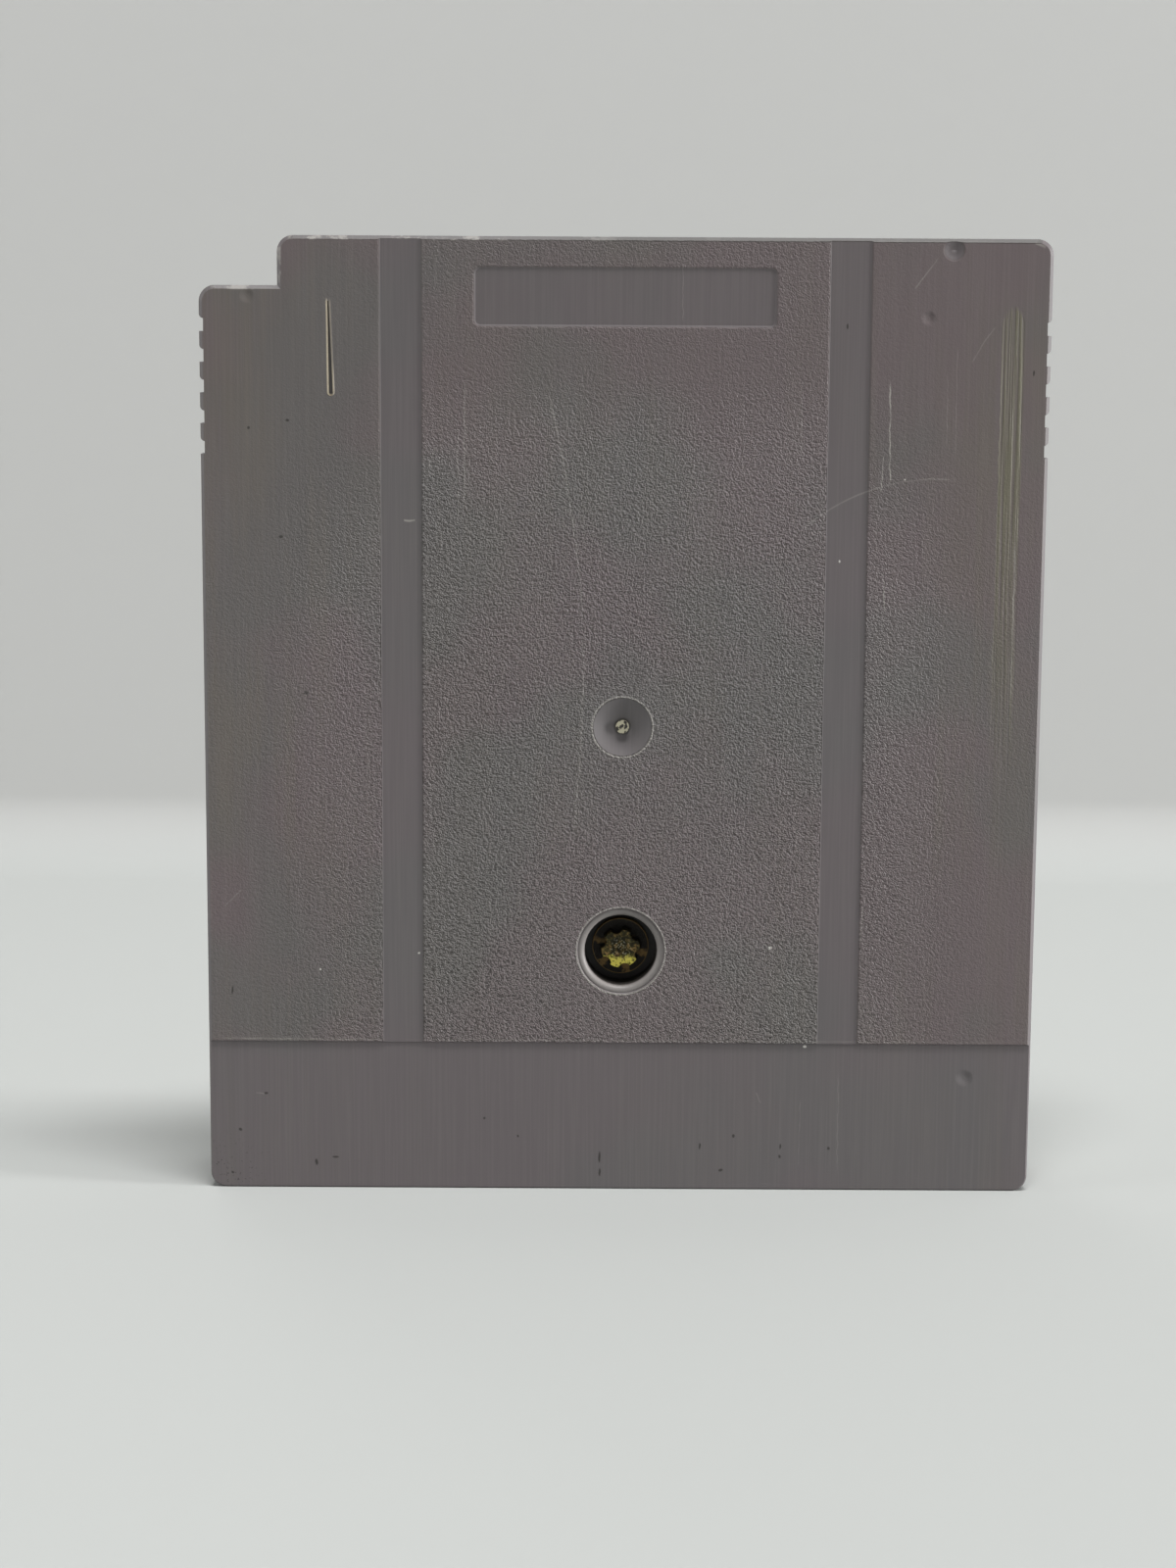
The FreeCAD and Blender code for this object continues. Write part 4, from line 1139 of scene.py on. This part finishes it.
@dataclass(frozen=True)
class FrontPlastic(ShellPlastic):
    """The front shell: the same grain on its outer face, smooth recesses and lighter wear."""

    brush_share: float = 0.16
    panel_depth: Point = (0.05, 0.015)
    panel_strength: float = 0.7
    weak_margins: Point = (5.0, 1.0)
    weak_share: float = 0.7
    pit_dirt: float = 0.3
    scuff_scale: Triple = (3.0, 1.0, 0.3)
    scuff_range: Point = (0.6, 0.72)
    scuff_share: float = 0.3
    edge_dark: float = 0.1
    edge_wear: float = 0.15

    @cached_property
    def panel(self) -> Wire:
        """1 on the outer face and 0 in its recesses."""
        return self.graph.smooth(self.spot.y, *(self.case.face - depth for depth in self.panel_depth))

    @cached_property
    def strength(self) -> Wire:
        """How deep the grain is: weak near the sides, none off the outer face.

        Returns:
            A factor from 0 to 1.
        """
        margins = (self.case.half_width - margin for margin in self.weak_margins)
        sides = self.graph.smooth(abs(self.spot.x), *margins)
        return self.panel_strength * self.panel * (1 - self.weak_share * sides)

    @cached_property
    def material(self) -> bpy.types.Material:
        """Build the finish: dirt in the pits, rubbing, scuffs and worn edges.

        Returns:
            The material.
        """
        graph = self.graph
        scuffs = graph.noise(self.spot.place, self.scuff_scale, detail=4.0, Roughness=0.65)
        scuffed = self.scuff_share * graph.smooth(scuffs, *self.scuff_range) * self.panel
        colour = self.rubbed(graph.mix(self.pit_dirt * (1 - self.pits) * self.strength, self.aged, NEAR_BLACK))
        colour = self.edged(self.edge_dark, self.edge_wear, graph.mix(scuffed, colour, self.pale))
        normal = graph.bump(self.relief(self.grain_depth))
        return graph.finish(Base_Color=colour, Roughness=self.rough(self.roughness), Normal=normal)


@dataclass(frozen=True)
class PlatedMetal(Finish):
    """Plated or bare metal with blotches of tarnish and fine tool marks."""

    bright: Colour
    dull: Colour
    tarnish: Colour
    roughness: float = 0.3
    blotch_scale: float = 1.5
    stops: Triple = (0.36, 0.46, 0.58)
    rough_range: Point = (0.55, 0.35)
    rough_share: float = 0.25
    mark_scale: Triple = (9.0, 9.0, 9.0)
    mark_depth: float = 0.006

    @cached_property
    def material(self) -> bpy.types.Material:
        """Build the finish: three colours along blotchy noise, and marks in the surface.

        Returns:
            The material.
        """
        graph, place = self.graph, self.spot.place
        blotch = graph.noise(place, self.blotch_scale, detail=4.0, Roughness=0.6, Distortion=0.4)
        marks = graph.noise(place, self.mark_scale, detail=3.0)
        colour = graph.ramp(blotch, list(zip(self.stops, (self.tarnish, self.dull, self.bright))))
        rough = graph.smooth(blotch, *self.rough_range) * self.rough_share + self.roughness
        normal = graph.bump((marks - MIDDLE) * self.mark_depth)
        return graph.finish(Base_Color=colour, Roughness=rough, Metallic=1.0, Normal=normal)


@dataclass(frozen=True)
class ScrewPlating(Finish):
    """Yellow zinc on the security screw: a painted pool of light on the lobed drive, painted light on the
    flange, and grime with painted shade around it.
    """

    bright: Colour = (0.74, 0.66, 0.12)
    dull: Colour = (0.075, 0.064, 0.018)
    brown: Colour = (0.26, 0.165, 0.06)
    chip: Colour = (0.5, 0.49, 0.38)
    olive: Colour = (0.022, 0.019, 0.008)
    roughness: float = 0.7
    polish: float = 0.25
    metal: float = 0.3
    gloss: float = 0.25
    blotch_scale: float = 2.6
    speckle_scale: float = 7.5
    pitting: float = 0.05
    drive_level: float = -3.0
    flange_level: float = -2.05
    level_fade: float = 0.1
    flange_radius: float = 1.95
    rim_line: Point = (0.07, 0.03)
    rim_share: float = 0.7
    lobes: int = 6
    turn: float = -18.0
    patch_spread: float = 2.0
    patch_range: Point = (0.45, 0.95)
    lit_patch_heights: Point = (0.9, 0.2)
    lit_patch_share: float = 0.8
    stops: Triple = (0.42, 0.52, 0.62)
    crescent: Point = (-0.4, -0.8)
    crescent_spread: float = 1.2
    lit_crescent_share: float = 0.9
    speck_range: Point = (0.53, 0.41)
    speck_share: float = 0.85
    clean_crescent: float = 0.03
    chip_range: Point = (0.56, 0.64)
    chip_radii: Point = (1.0, 0.3)
    chip_share: float = 0.7

    @cached_property
    def blotch(self) -> Wire:
        """Coarse noise."""
        return self.graph.noise(self.spot.place, self.blotch_scale, detail=3.0, Roughness=0.65)

    @cached_property
    def speckle(self) -> Wire:
        """Fine noise."""
        return self.graph.noise(self.spot.place, self.speckle_scale, Roughness=0.6)

    @cached_property
    def up(self) -> Wire:
        """Height over the screw's axis."""
        return self.spot.z - SCREW_AXIS[1]

    @cached_property
    def away(self) -> Wire:
        """Distance from the screw's axis."""
        return self.graph.from_point(self.spot.place, SCREW_AXIS)

    @cached_property
    def material(self) -> bpy.types.Material:
        """Build the finish.

        Returns:
            The material.
        """
        graph = self.graph
        middle = (self.drive_level + self.flange_level) / 2
        drive = graph.smooth(self.spot.y, middle + self.level_fade, middle - self.level_fade)
        return graph.finish(
            Base_Color=graph.mix(drive, self.flange_colour, self.drive_colour),
            Roughness=self.roughness - self.polish * drive * self.speckle,
            Metallic=self.metal * drive,
            Specular_IOR_Level=self.gloss,
            Normal=graph.bump(self.speckle * self.pitting + self.blotch * self.pitting),
        )

    @cached_property
    def flange_colour(self) -> Wire:
        """Colour of the flange: near-black for grime and painted shade, leaving its rim and, below the
        middle, patches of painted light in the hollows between the lobes.

        The hollows are where cos(lobes (angle - turn)) is near 1.

        Returns:
            The colour.
        """
        graph = self.graph
        angle = graph.math("ARCTAN2", self.up, self.spot.x - SCREW_AXIS[0])
        hollow = graph.math("COSINE", (angle - math.radians(self.turn)) * self.lobes)
        # Painted light: patches in the lower hollows, where light reaches into the well.
        patches = graph.smooth(hollow + self.patch_spread * (self.blotch - MIDDLE), *self.patch_range)
        patches = self.lit_patch_share * (patches * graph.smooth(self.up, *self.lit_patch_heights))
        rim = self.rim_share * graph.smooth(abs(self.away - self.flange_radius), *self.rim_line)
        return graph.mix(graph.most(patches, rim), NEAR_BLACK, self.brown)

    @cached_property
    def drive_colour(self) -> Wire:
        """Colour of the drive: mottled, with a painted pool of light, bright yellow in a crescent below its
        middle, and olive specks and chips.

        Returns:
            The colour.
        """
        graph = self.graph
        # Painted pool of light: the crescent below the middle, where light reaches into the well.
        lower = graph.smooth(self.up + self.crescent_spread * (self.blotch - MIDDLE), *self.crescent)
        specks = graph.smooth(self.speckle + self.clean_crescent * lower, *self.speck_range)
        chips = graph.smooth(self.speckle, *self.chip_range) * graph.smooth(self.away, *self.chip_radii)
        zinc = graph.ramp(self.blotch, list(zip(self.stops, (self.olive, self.dull, self.brown))))
        zinc = graph.mix(self.lit_crescent_share * lower, zinc, self.bright)
        zinc = graph.mix(self.speck_share * specks, zinc, self.olive)
        return graph.mix(self.chip_share * chips, zinc, self.chip)


@dataclass(frozen=True)
class Laminate(Finish):
    """Green lacquered board: copper shows lighter through the lacquer where the traces run."""

    lacquer: Colour = (0.035, 0.13, 0.055)
    trace: Colour = (0.06, 0.21, 0.075)
    roughness: float = 0.22
    pitch: float = 1.5
    trace_half: float = 0.17
    trace_fade: float = 0.05
    trace_rise: float = 0.035
    trace_shift: float = 100.0
    jog_height: float = 6.0
    jog: float = 0.55
    fan_foot: Point = (8.6, 8.8)
    fan_top: Point = (40.0, 38.0)
    gate_scale: Triple = (0.3, 1.0, 0.05)
    gate_range: Point = (0.42, 0.46)
    weave_scale: float = 1.2
    weave_range: Point = (0.45, 0.75)
    weave_share: float = 0.25
    weave_roughness: float = 0.15

    @cached_property
    def material(self) -> bpy.types.Material:
        """Build the finish: traces repeat at the contacts' pitch and step aside in turn further up.

        Returns:
            The material.
        """
        graph, spot = self.graph, self.spot
        aside = graph.math("FLOOR", spot.z / self.jog_height) * self.jog
        phase = graph.math("FRACT", (spot.x + aside + self.trace_shift) / self.pitch)
        off_middle = abs(phase - MIDDLE) * self.pitch
        trace = graph.smooth(off_middle, self.trace_half + self.trace_fade, self.trace_half)
        gate = graph.smooth(graph.noise(spot.place, self.gate_scale, detail=0.0), *self.gate_range)
        zone = graph.smooth(spot.z, *self.fan_foot) * graph.smooth(spot.z, *self.fan_top)
        traces = trace * zone * gate
        weave = graph.noise(spot.place, self.weave_scale)
        woven = self.weave_share * graph.smooth(weave, *self.weave_range)
        colour = graph.mix(woven, graph.mix(traces, self.lacquer, self.trace), self.trace)
        rough = self.roughness + self.weave_roughness * weave
        return graph.finish(Base_Color=colour, Roughness=rough, Normal=graph.bump(traces * self.trace_rise))


@dataclass(frozen=True)
class Moulded(Finish):
    """Resin or ceramic with a fine sandy surface and faint clouds."""

    colour: Colour
    cloud: Colour
    roughness: float = 0.6
    cloud_scale: float = 0.5
    cloud_range: Point = (0.35, 0.7)
    cloud_roughness: float = 0.2
    sand_scale: float = 14.0
    sand_depth: float = 0.008

    @cached_property
    def material(self) -> bpy.types.Material:
        """Build the finish.

        Returns:
            The material.
        """
        graph, place = self.graph, self.spot.place
        sand = graph.noise(place, self.sand_scale, detail=1.0)
        clouds = graph.noise(place, self.cloud_scale, detail=3.0)
        colour = graph.mix(graph.smooth(clouds, *self.cloud_range), self.colour, self.cloud)
        rough = self.roughness + self.cloud_roughness * (clouds - MIDDLE)
        normal = graph.bump((sand - MIDDLE) * self.sand_depth)
        return graph.finish(Base_Color=colour, Roughness=rough, Normal=normal)


@dataclass(frozen=True)
class Backdrop(Finish):
    """Pale matt paper that is seen from its upper or front side only.

    The bend is the radius between floor and wall, over which one colour turns into the other.
    """

    floor: Colour = (0.385, 0.395, 0.385)
    wall: Colour = (0.48, 0.482, 0.472)
    bend: float = 8.0

    @cached_property
    def material(self) -> bpy.types.Material:
        """Build the finish: paper on the front, nothing on the back or in a lamp's way.

        Other views and the lamp behind the paper look through it.

        Returns:
            The material.
        """
        graph = self.graph
        colour = graph.mix(graph.smooth(self.spot.z, 0.0, self.bend), self.floor, self.wall)
        plain = {"Base Color": colour, "Roughness": 1.0, "Specular IOR Level": 0.0}
        paper = graph.make("ShaderNodeBsdfPrincipled", None, plain)
        clear = graph.make("ShaderNodeBsdfTransparent")
        behind = graph.make("ShaderNodeNewGeometry", output="Backfacing")
        lamp_ray = graph.make("ShaderNodeLightPath", output="Is Shadow Ray")
        see_through = graph.most(behind, lamp_ray)
        graph.make_output(graph.make("ShaderNodeMixShader", None, {0: see_through, 1: paper, 2: clear}))
        return graph.material


def grid_mesh(name: str, points: np.ndarray) -> bpy.types.Object:
    """Make a mesh object from a grid of points.

    Args:
        name: the object's name.
        points: array of shape (rows, columns, 3), in metres.

    Returns:
        The object, linked to the scene.
    """
    rows, columns, _ = points.shape
    index = np.arange(rows * columns).reshape(rows, columns)
    corners = (index[:-1, :-1], index[:-1, 1:], index[1:, 1:], index[1:, :-1])
    faces = np.stack(corners, axis=-1).reshape(-1, 4)
    mesh = bpy.data.meshes.new(name)
    mesh.from_pydata(points.reshape(-1, 3).tolist(), [], faces.tolist())
    mesh.polygons.foreach_set("use_smooth", np.ones(len(faces), bool))
    mesh.update()
    piece = bpy.data.objects.new(name, mesh)
    bpy.context.scene.collection.objects.link(piece)
    return piece


@dataclass
class Nodes:
    """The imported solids, which keep their meshes and get finishes."""

    objects: Mapping[str, bpy.types.Object]

    def dress(self, name: str, material: bpy.types.Material) -> None:
        """Put one material on a node.

        Args:
            name: the node.
            material: its finish.
        """
        piece = self.objects[name]
        piece.data.materials.clear()
        piece.data.materials.append(material)
        LOG.info("%s: %s", name, material.name)


@dataclass
class Case:
    """The two moulded shells and the screw that holds them."""

    nodes: Nodes
    extent: Extent
    screw: ScrewPlating = ScrewPlating("zinc_plating")

    def dress(self) -> None:
        """Give the shells and the screw their finishes."""
        self.nodes.dress("back_shell", BackPlastic("back_plastic", self.extent).material)
        self.nodes.dress("front_shell", FrontPlastic("front_plastic", self.extent).material)
        self.nodes.dress("case_screw", self.screw.material)


@dataclass
class Board:
    """The board in the case, with its contacts, chips, cell and passives."""

    nodes: Nodes
    laminate: Laminate = Laminate("lacquered_laminate")
    gold: PlatedMetal = PlatedMetal(
        "gold_flash",
        bright=(0.83, 0.62, 0.26),
        dull=(0.72, 0.5, 0.2),
        tarnish=(0.36, 0.24, 0.1),
        blotch_scale=0.8,
        mark_scale=(14.0, 1.0, 0.6),
    )
    tin: PlatedMetal = PlatedMetal(
        "tinned_metal",
        bright=(0.66, 0.67, 0.68),
        dull=(0.52, 0.53, 0.54),
        tarnish=(0.3, 0.3, 0.3),
        roughness=0.38,
    )
    nickel: PlatedMetal = PlatedMetal(
        "nickel_steel",
        bright=(0.68, 0.67, 0.65),
        dull=(0.6, 0.59, 0.57),
        tarnish=(0.42, 0.41, 0.39),
        roughness=0.24,
        blotch_scale=0.4,
        mark_scale=(0.8, 6.0, 12.0),
    )
    resin: Moulded = Moulded("chip_resin", colour=(0.018, 0.018, 0.02), cloud=(0.03, 0.03, 0.032))
    tan: Moulded = Moulded(
        "capacitor_ceramic",
        colour=(0.42, 0.28, 0.16),
        cloud=(0.36, 0.23, 0.13),
        roughness=0.45,
    )
    glaze: Moulded = Moulded(
        "resistor_ceramic",
        colour=(0.03, 0.03, 0.035),
        cloud=(0.05, 0.05, 0.055),
        roughness=0.35,
    )

    def dress(self) -> None:
        """Give the board and all that it carries their finishes."""
        finishes = {
            self.laminate: ("circuit_board",),
            self.gold: ("edge_contacts",),
            self.resin: ("memory_chip", "bank_controller", "reset_chip"),
            self.tin: (
                "memory_chip_leads",
                "bank_controller_leads",
                "reset_chip_leads",
                "capacitor_terminals",
                "resistor_terminals",
            ),
            self.nickel: ("backup_cell", "cell_plus_tab", "cell_minus_tab"),
            self.tan: ("capacitors",),
            self.glaze: ("resistors",),
        }
        for finish, names in finishes.items():
            for name in names:
                self.nodes.dress(name, finish.material)


@dataclass(frozen=True)
class Lamp:
    """A lamp with a flat panel that shines at the middle of the cartridge from a direction."""

    name: str
    towards: Triple
    size: Point
    level: float
    distance: float
    aim: float = 32.0 * MM

    def build(self) -> None:
        """Make the lamp. Its power gives a white surface that faces it the radiance called level."""
        direction = Vector(self.towards).normalized()
        data = bpy.data.lights.new(self.name, "AREA")
        data.shape = "RECTANGLE"
        data.size, data.size_y = self.size
        data.energy = self.level * (math.pi * self.distance) ** 2
        holder = bpy.data.objects.new(self.name, data)
        holder.location = direction * self.distance + Vector((0.0, 0.0, self.aim))
        holder.rotation_mode = "QUATERNION"
        holder.rotation_quaternion = (-direction).to_track_quat("-Z", "Y")
        bpy.context.scene.collection.objects.link(holder)
        LOG.info("%s", self.name)


@dataclass
class Studio:
    """Paper sweep, soft light and the camera."""

    focal_px: float = 3000.0
    image_height_px: float = 1600.0
    sensor: float = 36.0
    pitch: float = 8.94
    yaw: float = -0.04
    roll: float = 0.33
    eye: Triple = (-2.46, -202.52, 59.92)
    near: float = 10.0
    floor_front: float = -1500.0
    bend_start: float = 110.0
    bend_steps: int = 25
    wall_top: float = 900.0
    half_span: float = 1500.0
    sky: float = 0.2
    paper: Backdrop = Backdrop("paper")
    lamps: tuple[Lamp, ...] = (
        Lamp("overhead", (0.08, -0.235, 0.97), size=(0.45, 0.18), level=1.1, distance=1.0),
        Lamp("window", (0.97, -0.17, 0.16), size=(0.43, 1.0), level=1.42, distance=2.4),
        Lamp("left_fill", (-0.96, -0.15, 0.22), size=(1.0, 1.0), level=0.36, distance=2.4),
        Lamp("fill_behind", (-0.35, 0.93, 0.16), size=(0.8, 0.8), level=0.35, distance=2.0),
    )

    def build(self) -> None:
        """Make the sweep, the lamps, the world and the camera."""
        self.sweep()
        for lamp in self.lamps:
            lamp.build()
        self.world()
        self.camera()

    def sweep(self) -> None:
        """Paper that lies flat, bends through a quarter circle and stands up behind.

        The profile is a straight run, an arc of the paper's bend and a second straight run, carried along X.
        """
        turn = np.linspace(0.0, math.pi / 2, self.bend_steps)
        along = np.concatenate(([self.floor_front], self.bend_start + self.paper.bend * np.sin(turn)))
        rise = np.concatenate(([0.0], self.paper.bend * (1 - np.cos(turn))))
        along = np.append(along, along[-1])
        rise = np.append(rise, self.wall_top)
        across = np.array([-self.half_span, self.half_span])
        grid = np.stack(np.broadcast_arrays(across, along[:, None], rise[:, None]), axis=-1) * MM
        floor = grid_mesh("paper_sweep", grid)
        floor.data.materials.append(self.paper.material)
        floor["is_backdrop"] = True
        LOG.info("paper_sweep")

    def world(self) -> None:
        """Even light from all round."""
        scene = bpy.context.scene
        scene.world = bpy.data.worlds.new("sky")
        scene.world.use_nodes = True
        ground = scene.world.node_tree.nodes["Background"]
        ground.inputs["Color"].default_value = (1.0, 1.0, 1.0, 1.0)
        ground.inputs["Strength"].default_value = self.sky
        scene.view_settings.view_transform = "Standard"

    def camera(self) -> None:
        """The photograph's viewpoint: turned by yaw about the vertical, tipped down by pitch, then rolled."""
        turn = Matrix.Rotation(math.radians(self.yaw), 3, "Z")
        tip = Matrix.Rotation(math.radians(90.0 - self.pitch), 3, "X")
        lean = Matrix.Rotation(math.radians(self.roll), 3, "Z")
        data = bpy.data.cameras.new("camera")
        data.sensor_width = self.sensor
        data.lens = self.sensor * self.focal_px / self.image_height_px
        data.clip_start = self.near * MM
        holder = bpy.data.objects.new("camera", data)
        holder.matrix_world = Matrix.Translation(Vector(self.eye) * MM) @ (turn @ tip @ lean).to_4x4()
        bpy.context.scene.collection.objects.link(holder)
        bpy.context.scene.camera = holder


def main() -> None:
    """Load the frame, measure the case, dress every node and set up the studio."""
    logging.basicConfig(level=logging.INFO, format="%(name)s: %(message)s")
    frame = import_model()
    cad_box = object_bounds()
    nodes = Nodes(frame["nodes"])
    Case(nodes, Extent.of_box(cad_box)).dress()
    Board(nodes).dress()
    Studio().build()


if __name__ == "__main__":
    main()
